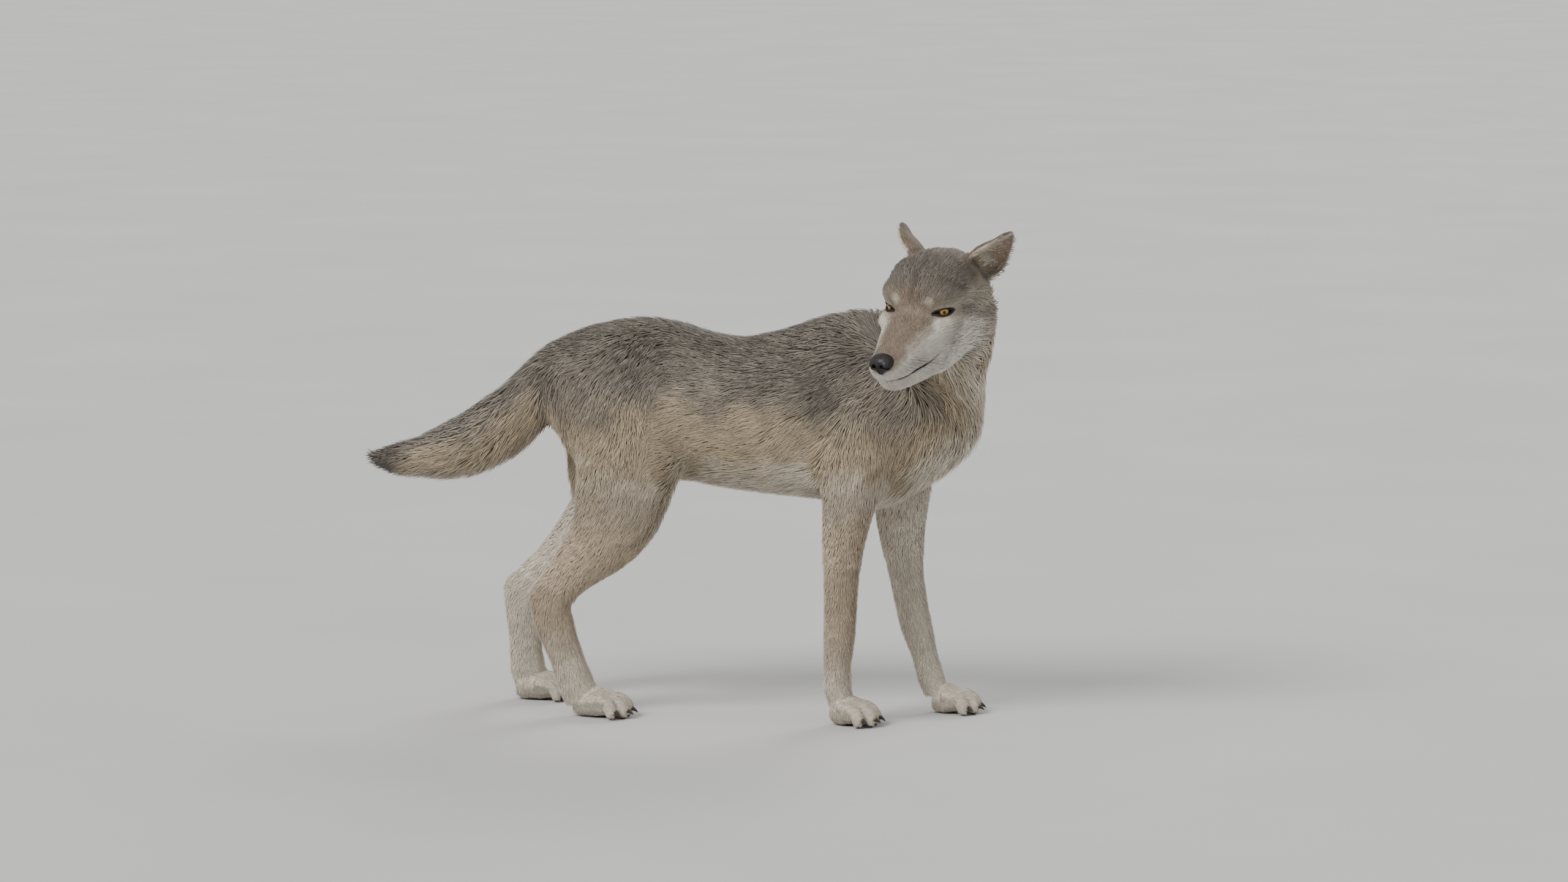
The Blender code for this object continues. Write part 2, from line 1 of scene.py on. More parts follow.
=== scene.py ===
"""A grey wolf at life size: skin, coat, eyes, nose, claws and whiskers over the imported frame.

The skin is the frame's outline drawn in by the depth of the coat. Locks of hair are rooted on it,
follow the lie of the coat and end at the outline. The head has a frame of its own: its origin
between the eyes, +X to the nose, +Y to the animal's left, +Z to the crown. Metres throughout.
"""

import json
import math

import bpy
import numpy as np
import openvdb as vdb
from mathutils import Matrix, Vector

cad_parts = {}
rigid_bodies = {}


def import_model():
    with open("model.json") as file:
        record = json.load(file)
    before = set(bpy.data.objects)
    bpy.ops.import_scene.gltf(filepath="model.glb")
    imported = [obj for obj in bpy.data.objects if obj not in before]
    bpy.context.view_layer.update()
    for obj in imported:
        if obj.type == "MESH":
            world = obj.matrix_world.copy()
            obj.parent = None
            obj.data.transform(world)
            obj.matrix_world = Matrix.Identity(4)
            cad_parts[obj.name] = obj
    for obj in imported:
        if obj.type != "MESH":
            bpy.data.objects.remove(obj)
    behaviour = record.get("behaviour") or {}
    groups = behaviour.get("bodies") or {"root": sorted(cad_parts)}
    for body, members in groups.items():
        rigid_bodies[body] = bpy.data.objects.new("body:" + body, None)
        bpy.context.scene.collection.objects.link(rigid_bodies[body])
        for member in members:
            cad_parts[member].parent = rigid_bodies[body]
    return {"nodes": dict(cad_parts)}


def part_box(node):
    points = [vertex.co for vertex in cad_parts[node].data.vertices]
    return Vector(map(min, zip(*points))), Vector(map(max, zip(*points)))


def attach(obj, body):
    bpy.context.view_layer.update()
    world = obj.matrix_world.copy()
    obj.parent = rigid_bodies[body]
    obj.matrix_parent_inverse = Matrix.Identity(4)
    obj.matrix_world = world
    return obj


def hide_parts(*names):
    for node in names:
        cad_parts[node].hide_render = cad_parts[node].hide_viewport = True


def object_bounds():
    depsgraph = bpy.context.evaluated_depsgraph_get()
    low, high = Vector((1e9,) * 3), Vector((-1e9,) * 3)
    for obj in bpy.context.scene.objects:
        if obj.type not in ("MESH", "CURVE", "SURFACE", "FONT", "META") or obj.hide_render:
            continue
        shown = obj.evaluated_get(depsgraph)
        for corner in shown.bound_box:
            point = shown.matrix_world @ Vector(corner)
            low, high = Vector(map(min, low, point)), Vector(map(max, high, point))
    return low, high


for start_up in list(bpy.data.objects):
    bpy.data.objects.remove(start_up)
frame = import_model()
CAD_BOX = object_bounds()
LEFT, RIGHT = 1, -1
NODES = frame["nodes"]


# ---------------------------------------------------------------- frames of the body
def turned(at, yaw=0, pitch=0, roll=0):
    """Yaw about Z, then pitch (down is positive) about the turned Y, then roll about X; degrees."""
    turn = Matrix.Identity(4)
    for angle, axis in ((yaw, "Z"), (pitch, "Y"), (roll, "X")):
        turn = turn @ Matrix.Rotation(math.radians(angle), 4, axis)
    return np.array(Matrix.Translation(at) @ turn)


def middle(*nodes):
    """The middle of the boxes of some nodes."""
    return np.mean([np.mean(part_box(node), axis=0) for node in nodes], axis=0)


def moved(matrix, points):
    """Points carried by a 4 x 4 matrix."""
    return np.asarray(points, float) @ matrix[:3, :3].T + matrix[:3, 3]


EYE_AT = np.array([-0.0090, 0.0525, -0.001])   # the left eye's centre in the head's frame
EYE_RADIUS = 0.0158
EYE_TURN, EYE_TILT, EYE_ROLL = 38, 2, -5   # degrees outwards, up, and about the way it looks
EYE_OPENING = (0.0156, 0.0060)   # half the width and half the height of the opening of the lids
LID_BOWS = (1.22, 0.88)   # how far the upper and the lower lid bow, over the opening's half height
LID_SLANT = 0.05   # how steeply the opening falls towards its inner corner
NOSE_AT = np.array([0.1480, 0, -0.0450])   # the middle of the nose's leather in the head's frame
TURN = turned((0, 0, 0), -112, 20, -2)   # back over the right shoulder and a little down
HEAD = TURN.copy()   # the head's frame: the midpoint of its eyes falls on that of the CAD eyes
HEAD[:3, 3] = middle("eye_left", "eye_right") - TURN[:3, :3] @ (EYE_AT * (1, 0, 1))
INTO_HEAD = np.linalg.inv(HEAD)
ORIGIN = HEAD[:3, 3] - (0.388, -0.185, 0.817)   # where the bones below have their zero


def eye_frame(side):
    """The eye's own frame: +X out of the pupil."""
    x, y, z = EYE_AT
    return HEAD @ turned((x, side * y, z), side * EYE_TURN, -EYE_TILT, side * EYE_ROLL)


# Bones: rows of region, then two ends, each x, y, z and the depth of coat over it.
# The coat lies from the first end towards the second. Head rows are in the head's frame.
HEAD_BONES = [
    ("face", (0.160, 0, -0.050, 0.0022), (0.060, 0, -0.030, 0.0030)),
    ("face", (0.060, 0, -0.030, 0.0030), (0.000, 0, -0.004, 0.0048)),
    ("face", (0.000, 0, 0.004, 0.0050), (-0.060, 0, 0.034, 0.0080)),
    ("crown", (-0.060, 0, 0.034, 0.0080), (-0.135, 0, 0.020, 0.0160)),
    ("face", (0.150, 0, -0.090, 0.0026), (0.060, 0, -0.100, 0.0040)),
    ("throat", (0.060, 0, -0.100, 0.0050), (-0.060, 0, -0.115, 0.0200)),
] + [
    row
    for side in (LEFT, RIGHT)
    for row in (
        ("face", (0.140, side * 0.026, -0.066, 0.0026), (0.060, side * 0.046, -0.058, 0.0036)),
        ("face", (0.060, side * 0.046, -0.058, 0.0036), (0.000, side * 0.068, -0.046, 0.0070)),
        ("face", (0.004, side * 0.050, 0.010, 0.0040), (-0.060, side * 0.070, 0.024, 0.0090)),
        ("cheek", (0.000, side * 0.068, -0.046, 0.0080), (-0.070, side * 0.080, -0.072, 0.0260)),
        ("cheek", (-0.030, side * 0.080, -0.010, 0.0100), (-0.110, side * 0.084, -0.040, 0.0270)),
        ("cheek", (-0.070, side * 0.080, -0.072, 0.0260), (-0.140, side * 0.080, -0.110, 0.0360)),
        ("throat", (0.010, side * 0.050, -0.110, 0.0080), (-0.080, side * 0.056, -0.130, 0.0260)),
    )
]
BODY_BONES = [
    ("neck", (0.400, -0.130, 0.850, 0.020), (0.436, -0.060, 0.838, 0.026)),
    ("neck", (0.436, -0.060, 0.830, 0.028), (0.425, -0.010, 0.775, 0.032)),
    ("neck", (0.425, -0.010, 0.775, 0.032), (0.375, 0, 0.725, 0.032)),
    ("neck", (0.375, 0, 0.725, 0.032), (0.300, 0, 0.690, 0.029)),
    ("chest", (0.470, -0.060, 0.800, 0.028), (0.490, -0.020, 0.700, 0.032)),
    ("chest", (0.490, -0.020, 0.700, 0.032), (0.455, 0, 0.560, 0.029)),
    ("chest", (0.455, 0, 0.560, 0.028), (0.390, 0, 0.470, 0.020)),
    ("chest", (0.400, -0.140, 0.760, 0.026), (0.440, -0.060, 0.700, 0.032)),
    ("back", (0.300, 0, 0.690, 0.029), (0.180, 0, 0.660, 0.025)),
    ("back", (0.180, 0, 0.660, 0.025), (-0.050, 0, 0.660, 0.021)),
    ("back", (-0.050, 0, 0.660, 0.021), (-0.330, 0, 0.700, 0.021)),
    ("belly", (0.390, 0, 0.470, 0.022), (0.150, 0, 0.460, 0.018)),
    ("belly", (0.150, 0, 0.460, 0.018), (-0.180, 0, 0.490, 0.016)),
    ("tail", (-0.330, 0, 0.700, 0.021), (-0.400, 0, 0.616, 0.023)),
    ("tail", (-0.400, 0, 0.616, 0.023), (-0.510, 0, 0.527, 0.026)),
    ("tail", (-0.510, 0, 0.527, 0.026), (-0.620, 0, 0.490, 0.022)),
    ("tail", (-0.620, 0, 0.490, 0.022), (-0.700, 0, 0.486, 0.014)),
    ("tail", (-0.700, 0, 0.486, 0.016), (-0.740, 0, 0.490, 0.006)),
] + [
    row
    for side in (LEFT, RIGHT)
    for row in (
        ("flank", (0.290, side * 0.080, 0.660, 0.025), (0.150, side * 0.090, 0.560, 0.020)),
        ("flank", (0.150, side * 0.090, 0.640, 0.022), (-0.060, side * 0.085, 0.580, 0.019)),
        ("flank", (0.150, side * 0.070, 0.520, 0.018), (-0.100, side * 0.070, 0.510, 0.016)),
        ("haunch", (-0.160, side * 0.060, 0.690, 0.020), (-0.250, side * 0.085, 0.560, 0.017)),
        ("haunch", (-0.330, side * 0.040, 0.640, 0.020), (-0.340, side * 0.060, 0.500, 0.018)),
    )
]
LEG_PATHS = {
    ("front", RIGHT): [
        (0.262, -0.080, 0.620, 0.022), (0.254, -0.086, 0.500, 0.015), (0.238, -0.088, 0.410, 0.0095),
        (0.227, -0.087, 0.290, 0.0065), (0.222, -0.086, 0.165, 0.0055), (0.220, -0.086, 0.080, 0.0045),
    ],
    ("front", LEFT): [
        (0.292, 0.080, 0.620, 0.022), (0.307, 0.086, 0.500, 0.015), (0.313, 0.088, 0.410, 0.0095),
        (0.322, 0.087, 0.290, 0.0065), (0.345, 0.086, 0.165, 0.0055), (0.370, 0.086, 0.080, 0.0045),
    ],
    ("hind", RIGHT): [
        (-0.190, -0.080, 0.600, 0.020), (-0.190, -0.091, 0.470, 0.015), (-0.235, -0.090, 0.365, 0.0100),
        (-0.318, -0.087, 0.270, 0.0075), (-0.345, -0.086, 0.215, 0.0060), (-0.320, -0.086, 0.120, 0.0050),
        (-0.300, -0.086, 0.075, 0.0045),
    ],
    ("hind", LEFT): [
        (-0.215, 0.080, 0.600, 0.020), (-0.245, 0.091, 0.470, 0.015), (-0.285, 0.090, 0.365, 0.0100),
        (-0.398, 0.087, 0.260, 0.0075), (-0.440, 0.086, 0.210, 0.0060), (-0.441, 0.086, 0.120, 0.0050),
        (-0.437, 0.086, 0.075, 0.0045),
    ],
}
PAWS = {   # centre on the floor and heading
    ("front", RIGHT): (0.244, -0.087, -8),
    ("front", LEFT): (0.413, 0.087, 2),
    ("hind", RIGHT): (-0.244, -0.087, -5),
    ("hind", LEFT): (-0.400, 0.087, 4),
}
TOES = [(0.047, 0.0125, 0.0145), (0.028, 0.0315, 0.0130)]   # inner, outer: reach, place across, radius
SIDE_NAMES = {LEFT: "left", RIGHT: "right"}


def paw_frame(key):
    """A foot's own frame: on the floor under its middle, +X the way it points."""
    x, y, heading = PAWS[key]
    return turned((x + ORIGIN[0], y + ORIGIN[1], 0), heading)


def all_bones():
    """Arrays of the bones in the common frame: regions, starts, ends, and the depth at each end."""
    rows = [(r, moved(HEAD, a[:3]), moved(HEAD, b[:3]), a[3], b[3]) for r, a, b in HEAD_BONES]
    rows += [(r, a[:3] + ORIGIN, b[:3] + ORIGIN, a[3], b[3]) for r, a, b in BODY_BONES]
    for key, path in LEG_PATHS.items():
        region = "leg_" + key[0]
        for a, b in zip(path, path[1:]):
            rows.append((region, a[:3] + ORIGIN, b[:3] + ORIGIN, a[3], b[3]))
        foot = paw_frame(key)
        a, b = moved(foot, (-0.020, 0, 0.060)), moved(foot, (0.055, 0, 0.016))
        rows.append(("paw", a, b, 0.0030, 0.0020))
    regions = np.array([row[0] for row in rows])
    starts, ends = np.array([row[1] for row in rows]), np.array([row[2] for row in rows])
    return regions, starts, ends, np.array([row[3] for row in rows]), np.array([row[4] for row in rows])


REGIONS, STARTS, ENDS, DEPTH_A, DEPTH_B = all_bones()
TRUNK_REGIONS = ("back", "flank", "belly", "haunch")
NECK_REGIONS = ("neck", "chest")
HEAD_REGIONS = ("face", "crown", "cheek", "throat")
LEG_REGIONS = ("leg_front", "leg_hind", "paw")


def bone_field(points):
    """At each point: the coat's depth, the way it lies, the nearest bone and how far off that is.

    Each bone counts by (distance + 6 mm)^-6; depth runs evenly along a bone.
    """
    total = np.zeros(len(points))
    depth = np.zeros(len(points))
    lie = np.zeros((len(points), 3))
    nearest, index = np.full(len(points), 9.0), np.zeros(len(points), int)
    for k in range(len(STARTS)):
        along = ENDS[k] - STARTS[k]
        t = np.clip((points - STARTS[k]) @ along / (along @ along), 0, 1)
        away = np.linalg.norm(points - STARTS[k] - t[:, None] * along, axis=1)
        weight = (away + 0.006) ** -6.0
        total += weight
        depth += weight * (DEPTH_A[k] + (DEPTH_B[k] - DEPTH_A[k]) * t)
        lie += weight[:, None] * along / np.linalg.norm(along)
        closer = away < nearest
        nearest[closer], index[closer] = away[closer], k
    return depth / total, lie / total[:, None], index, nearest


# ---------------------------------------------------------------- distance fields
def triangle_arrays(obj):
    """Points, triangles, and outward normals at the points."""
    mesh = obj.data
    mesh.calc_loop_triangles()
    co = np.empty(len(mesh.vertices) * 3, np.float32)
    tri = np.empty(len(mesh.loop_triangles) * 3, np.int32)
    out = np.empty(len(mesh.vertices) * 3, np.float32)
    mesh.vertices.foreach_get("co", co)
    mesh.loop_triangles.foreach_get("vertices", tri)
    mesh.vertex_normals.foreach_get("vector", out)
    return co.reshape(-1, 3).astype(float), tri.reshape(-1, 3), out.reshape(-1, 3).astype(float)


def solid_mesh(names):
    """Points and triangles of some CAD nodes together."""
    points, faces, count = [], [], 0
    for name in names:
        own, triangles, _ = triangle_arrays(NODES[name])
        points.append(own)
        faces.append(triangles + count)
        count += len(own)
    return np.vstack(points), np.vstack(faces)


def box_cells(low, high, pitch, step=1):
    """The first cell and the number of cells of a box; the number less one is a multiple of step."""
    first = np.floor(np.array(low) / pitch).astype(int)
    last = np.ceil(np.array(high) / pitch).astype(int)
    size = (last - first + step - 1) // step * step + 1
    return tuple(int(i) for i in first), tuple(int(n) for n in size)


def distance(points, faces, first, size, pitch, reach):
    """Signed distance to a closed mesh on the cells of a box, up to reach cells away.

    The mesh is first traced once, which closes the thin cuts inside it.
    """
    turn = vdb.createLinearTransform(voxelSize=pitch)
    make = vdb.FloatGrid.createLevelSetFromPolygons
    once = make(points.astype(np.float32), triangles=faces.astype(np.uint32), transform=turn, halfWidth=3.0)
    traced, quads = once.convertToQuads(isovalue=0.0)
    full = make(traced, quads=quads, transform=turn, halfWidth=float(reach))
    cells = np.empty(size, np.float32)
    full.copyToArray(cells, ijk=first)
    return cells


def cell_points(first, size, pitch, step=1):
    """The places of every step-th cell of a box, one row each."""
    axes = [(first[k] + np.arange(0, size[k], step)) * pitch for k in range(3)]
    return np.stack(np.meshgrid(*axes, indexing="ij"), axis=-1).reshape(-1, 3)


def spread(coarse, step):
    """Values known at every step-th cell, run evenly between them along each axis."""
    for axis in range(3):
        count = (coarse.shape[axis] - 1) * step + 1
        at = np.arange(count) / step
        below = np.minimum(at.astype(int), coarse.shape[axis] - 2)
        share = (at - below).reshape([-1 if k == axis else 1 for k in range(3)])
        coarse = np.take(coarse, below, axis) * (1 - share) + np.take(coarse, below + 1, axis) * share
    return coarse.astype(np.float32)


def softened(cells, rounds):
    """Each cell averaged with its neighbours, 1-2-1 along each axis, some rounds over."""
    for _ in range(rounds):
        for axis in range(3):
            cells = np.moveaxis(cells, axis, 0)
            inner = 0.25 * (cells[:-2] + cells[2:]) + 0.5 * cells[1:-1]
            cells = np.concatenate((cells[:1], inner, cells[-1:]))
            cells = np.moveaxis(cells, 0, axis)
    return cells


def blended(a, b, width):
    """The lesser of two distances, with the corner between them rounded over the width."""
    h = np.clip(0.5 + 0.5 * (b - a) / width, 0, 1)
    return b + (a - b) * h - width * h * (1 - h)


def surface(cells, first, pitch):
    """The surface where the field is zero: points and quads, facing out."""
    band = 3 * pitch
    grid = vdb.FloatGrid(band)
    grid.transform = vdb.createLinearTransform(voxelSize=pitch)
    grid.copyFromArray(np.clip(cells, -band, band).astype(np.float32), ijk=first, tolerance=1e-7)
    points, quads = grid.convertToQuads(isovalue=0.0)
    return points.astype(float), quads.astype(np.int32)


def mesh_object(name, points, faces, finish=None):
    """A mesh object from arrays of points and of faces of one size, smooth shaded."""
    mesh = bpy.data.meshes.new(name)
    mesh.vertices.add(len(points))
    mesh.vertices.foreach_set("co", np.asarray(points, np.float32).ravel())
    mesh.loops.add(faces.size)
    mesh.loops.foreach_set("vertex_index", faces.astype(np.int32).ravel())
    mesh.polygons.add(len(faces))
    mesh.polygons.foreach_set("loop_start", np.arange(0, faces.size, faces.shape[1], dtype=np.int32))
    mesh.polygons.foreach_set("use_smooth", np.ones(len(faces), bool))
    mesh.update(calc_edges=True)
    obj = bpy.data.objects.new(name, mesh)
    bpy.context.scene.collection.objects.link(obj)
    if finish:
        mesh.materials.append(finish)
    return obj


def applied(obj, kind, **settings):
    """The object with one modifier worked into its mesh."""
    modifier = obj.modifiers.new(kind, kind)
    for key, value in settings.items():
        setattr(modifier, key, value)
    shown = obj.evaluated_get(bpy.context.evaluated_depsgraph_get())
    made = bpy.data.meshes.new_from_object(shown)
    obj.modifiers.clear()
    old = obj.data
    obj.data = made
    bpy.data.meshes.remove(old)
    return obj


def thinned(obj, triangles):
    """The object with its shortest edges collapsed until so many triangles are left."""
    now = sum(len(p.vertices) - 2 for p in obj.data.polygons)
    return applied(obj, "DECIMATE", ratio=min(triangles / now, 1.0)) if now > triangles else obj


# ---------------------------------------------------------------- the skin
# The CAD nodes that the skin takes the place of, and the left ear's measures in the head's frame.
FLESH = [name for name in NODES if name.split("_")[0] in "head jaw ear neck trunk tail leg paw".split()]
EAR_BASE, EAR_TIP = np.array([-0.128, 0.070, 0.034]), np.array([-0.177, 0.123, 0.085])
EAR_HALF_WIDTH, EAR_DEPTH, EAR_WALL = 0.040, 0.034, 0.0090
EAR_OPENING = np.array([0.42, 0.90, -0.10])   # the way the left ear faces
OVERLAP = 0.012    # how far the skins of head and body run into each other
LEG_END, FOOT_TOP = 0.070, 0.098   # a leg's skin ends down at the first height, a foot's up at the other
SOLE = 0.0006      # the skin's lowest height


def sparing(h):
    """How much of the coat's depth is left near the eyes and the roots of the ears.

    A quarter up to a start, then evenly more, and all of it after a further run.
    """
    share = np.ones(len(h))
    for spot, start, run in ((EYE_AT, 0.020, 0.030), (EAR_BASE, 0.034, 0.040)):
        away = np.min([np.linalg.norm(h - spot * (1, s, 1), axis=1) for s in (LEFT, RIGHT)], axis=0)
        share *= 0.25 + 0.75 * np.clip((away - start) / run, 0, 1)
    return share


def coat_depth(first, size, pitch, step, box_frame=np.eye(4)):
    """The depth of the coat over a box of cells, worked out on every step-th cell."""
    places = moved(box_frame, cell_points(first, size, pitch, step))
    shape = [(n - 1) // step + 1 for n in size]
    return spread(bone_field(places)[0].reshape(shape), step)


def ear_leaf(side, inset, rows=56, columns=44):
    """The ear as a closed leaf: two sheets of rows from root to tip and columns across.

    A row is an arc of 164 degrees, hollow towards the opening; its half width is
    w = W (1 - t^1.9)^0.62 and its hollow is in proportion. The back sheet lies a wall further out.
    """
    flip = np.array([1, side, 1])
    base, tip = EAR_BASE * flip, EAR_TIP * flip
    rise = (tip - base) / np.linalg.norm(tip - base)
    opening = EAR_OPENING * flip
    opening = opening - rise * (opening @ rise)
    opening /= np.linalg.norm(opening)
    across = np.cross(rise, opening)
    along = np.linspace(-0.22, 0.985, rows)[:, None]
    t = np.maximum(along, 0)
    width = EAR_HALF_WIDTH * (1 - t**1.9) ** 0.62
    width = width * (0.86 + 0.14 * np.sin(np.pi * np.minimum(t * 1.6, 1)))
    width = np.maximum(width, 0.005) - inset
    hollow = EAR_DEPTH * width / EAR_HALF_WIDTH
    a = np.linspace(-1, 1, columns)[None, :] * math.radians(82)
    sheets = []
    for offset in (inset, EAR_WALL * (1 - 0.25 * t) - inset):
        centre = base + (tip - base) * along[..., None] + opening * (0.006 * np.sin(np.pi * t))[..., None]
        sideways = (width + offset * 0.45) * np.sin(a) / math.sin(math.radians(82))
        outwards = hollow * (0.35 - np.cos(a)) - offset * np.cos(a * 0.6)
        sheets.append(centre + across * sideways[..., None] + opening * outwards[..., None])
    points = np.vstack([sheet.reshape(-1, 3) for sheet in sheets])
    at = np.arange(rows * columns).reshape(rows, columns)
    quads = np.stack([at[:-1, :-1], at[:-1, 1:], at[1:, 1:], at[1:, :-1]], axis=-1).reshape(-1, 4)
    rim = np.concatenate([at[0, :], at[1:, -1], at[-1, -2::-1], at[-2:0:-1, 0]])
    after = np.roll(rim, -1)
    back = rows * columns
    wall = np.stack([rim, rim + back, after + back, after], axis=-1)
    faces = np.vstack([quads[:, ::-1], quads + back, wall[:, ::-1]])
    return moved(HEAD, points), np.vstack([faces[:, (0, 1, 2)], faces[:, (0, 2, 3)]])


def mouth_height(x):
    """Where the lips meet, in the head's frame: level, rising towards the corner."""
    return -0.081 - 0.02 * (x - 0.15) + 0.010 * (np.clip((0.075 - x) / 0.035, 0, 1.3)) ** 2


def eye_socket(cells, local, side):
    """The head's field with the eye's room carved out and two lids laid over the ball.

    A lid is a shell 2.6 mm thick about the ball, left out where the almond opening is:
    |z| < b (1 - (y / a)^2). The inner corner runs on as a short groove.
    """
    q = moved(np.linalg.inv(eye_frame(side)), local)
    x, inner, z = q[:, 0], -side * q[:, 1], q[:, 2]
    r = np.linalg.norm(q, axis=1)
    a, b = EYE_OPENING
    level = z + LID_SLANT * inner
    bow = np.where(level > 0, *LID_BOWS) * b
    opening = np.maximum(np.abs(level) - bow * (1 - (inner / a) ** 2), 0.002 - x)
    lids = np.maximum(np.abs(r - EYE_RADIUS - 0.0016) - 0.0013, -opening - 0.0002)
    lids = np.maximum(lids, -x - 0.002)
    cells = np.maximum(cells, -(opening - 0.0008))
    cells = blended(cells, lids, 0.0045)
    run = np.clip(inner, 0.0140, 0.0210)
    tear = np.hypot(np.hypot(x - 0.0120 + 0.2 * (run - 0.014), inner - run), level + 0.0012)
    cells = np.maximum(cells, 0.0014 - tear)
    return np.maximum(cells, EYE_RADIUS + 0.0003 - r)


def ellipsoid(points, at, radii):
    """Distance to an oval mass, near enough for blending: (|p / r| - 1) times the least radius."""
    return (np.linalg.norm((points - at) / radii, axis=1) - 1) * min(radii)


def head_skin():
    """The head's skin from the frame's outline, worked at 3 mm and refined to 1.5 mm."""
    pitch, fine = 0.003, 0.0015
    first, size = box_cells((-0.215, -0.165, -0.200), (0.172, 0.165, 0.105), pitch, 2)
    points, faces = solid_mesh([n for n in FLESH if not n.startswith("ear")] + ["nose"])
    whole = distance(moved(INTO_HEAD, points), faces, first, size, pitch, 15)
    points, faces = solid_mesh(["head", "jaw", "nose"])
    alone = distance(moved(INTO_HEAD, points), faces, first, size, pitch, 8)
    local = cell_points(first, size, pitch)
    brow = ellipsoid(local, (-0.050, 0, 0.018), (0.066, 0.080, 0.056)).reshape(size)
    outline = blended(softened(whole, 5), brow.astype(np.float32), 0.022)

    depth = coat_depth(first, size, pitch, 2, HEAD)
    depth *= sparing(local).reshape(size)
    first, size = tuple(2 * i for i in first), tuple(2 * n - 1 for n in size)
    outline = np.maximum(outline + depth - 0.0006, alone - OVERLAP)
    cells = softened(spread(outline, 2), 2)

    for side in (LEFT, RIGHT):
        points, faces = ear_leaf(side, 0.0008)
        leaf = softened(distance(moved(INTO_HEAD, points), faces, first, size, fine, 6), 1)
        cells = blended(cells, leaf, 0.010)
    # lips: a swelling above their line and a lesser one below it, and the slit between
    local = cell_points(first, size, fine)
    flat = cells.reshape(-1)
    x, _, z = local.T
    lip = z - mouth_height(x)
    ahead = np.clip((x - 0.030) / 0.020, 0, 1)
    flat = flat - 0.0014 * ahead * np.exp(-(((lip - 0.0045) / 0.0035) ** 2))
    flat = flat - 0.0008 * ahead * np.exp(-(((lip + 0.0040) / 0.0030) ** 2))
    slit = np.maximum(np.abs(lip) - 0.0009, 0.044 - x)
    near = np.abs(flat) < 0.006
    flat = np.where(near, np.maximum(flat, -np.maximum(slit, -flat - 0.0045)), flat)
    for side in (LEFT, RIGHT):
        close = np.linalg.norm(local - EYE_AT * (1, side, 1), axis=1) < 0.036
        flat[close] = eye_socket(flat[close], moved(HEAD, local[close]), side)
    points, quads = surface(flat.reshape(size), first, fine)
    head = mesh_object("head_skin", moved(HEAD, points), quads)
    return applied(head, "SMOOTH", factor=0.5, iterations=2)


def body_skin():
    """Neck, trunk, tail and legs at 4 mm, running on into the head and the feet."""
    pitch = 0.004
    low, high = np.array(CAD_BOX)
    first, size = box_cells(low - 0.016, high + 0.016, pitch, 4)
    rest = [n for n in FLESH if n.split("_")[0] in ("neck", "trunk", "tail", "leg", "paw")]
    whole = distance(*solid_mesh(rest + ["head", "jaw"]), first, size, pitch, 11)
    alone = distance(*solid_mesh(rest), first, size, pitch, 4)
    cells = softened(whole, 5) + coat_depth(first, size, pitch, 4)
    height = ((first[2] + np.arange(size[2])) * pitch).astype(np.float32)
    cells = np.maximum(np.maximum(cells, alone - OVERLAP), LEG_END - height)
    points, quads = surface(cells, first, pitch)
    return mesh_object("body_skin", points, quads)


def paw_skin(key):
    """One foot at 1.5 mm, its sole brought back down to the floor."""
    pitch = 0.0015
    names = [n for n in FLESH if n.endswith(key[0] + "_" + SIDE_NAMES[key[1]])]
    points, faces = solid_mesh(names)
    foot = [n for n in names if n.startswith("paw")][0]
    low, high = np.array(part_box(foot))
    first, size = box_cells(low - 0.012, (high[0] + 0.012, high[1] + 0.012, 0.118), pitch)
    outline = softened(distance(points, faces, first, size, pitch, 8), 2)
    places = cell_points(first, size, pitch)
    height = places[:, 2].reshape(size)
    cells = outline + 0.0016 + 0.0040 * np.clip((height - 0.03) / 0.05, 0, 1)
    cells = np.maximum(cells, height - FOOT_TOP)
    points, quads = surface(cells, first, pitch)
    base = points[:, 2].min()
    sink = np.clip(1 - (points[:, 2] - base) / 0.025, 0, 1)
    points[:, 2] -= (base - SOLE) * sink
    return mesh_object("paw_skin", points, quads)


def united(main, other):
    """One surface round two closed ones; the second object is used up."""
    applied(main, "BOOLEAN", operation="UNION", solver="EXACT", object=other)
    bpy.data.objects.remove(other)
    return main


# ---------------------------------------------------------------- finishes
def linear(code):
    """An sRGB hex colour as linear red, green and blue."""
    parts = np.array([int(code[i : i + 2], 16) / 255 for i in (0, 2, 4)])
    return np.where(parts <= 0.04045, parts / 12.92, ((parts + 0.055) / 1.055) ** 2.4)


def finish_named(name, **values):
    """A new material: itself, its node tree and its Principled shader with some values set."""
    finish = bpy.data.materials.new(name)
    finish.use_nodes = True
    tree = finish.node_tree
    shader = tree.nodes["Principled BSDF"]
    wire(tree, shader, **values)
    return finish, tree, shader


def wire(tree, target, **links):
    """Fills sockets by name, or by number as in0: a socket is linked, anything else is a value."""
    for key, value in links.items():
        key = int(key[2:]) if key[:2] == "in" and key[2:].isdigit() else key.replace("_", " ")
        if isinstance(value, bpy.types.NodeSocket):
            tree.links.new(value, target.inputs[key])
        else:
            target.inputs[key].default_value = value
    return target


def node(tree, kind, settings=(), **links):
    """Adds one node with its settings and links; stops are a ramp's places and colours or greys."""
    new = tree.nodes.new("ShaderNode" + kind)
    for key, value in dict(settings).items():
        if key == "stops":
            while len(new.color_ramp.elements) < len(value):
                new.color_ramp.elements.new(0.5)
            for element, (place, colour) in zip(new.color_ramp.elements, value):
                element.position = place
                element.color = (*np.broadcast_to(colour, 3), 1)
        else:
            setattr(new, key, value)
    return wire(tree, new, **links)


TINT = {"data_type": "RGBA", "blend_type": "MULTIPLY"}   # a Mix node that multiplies two colours


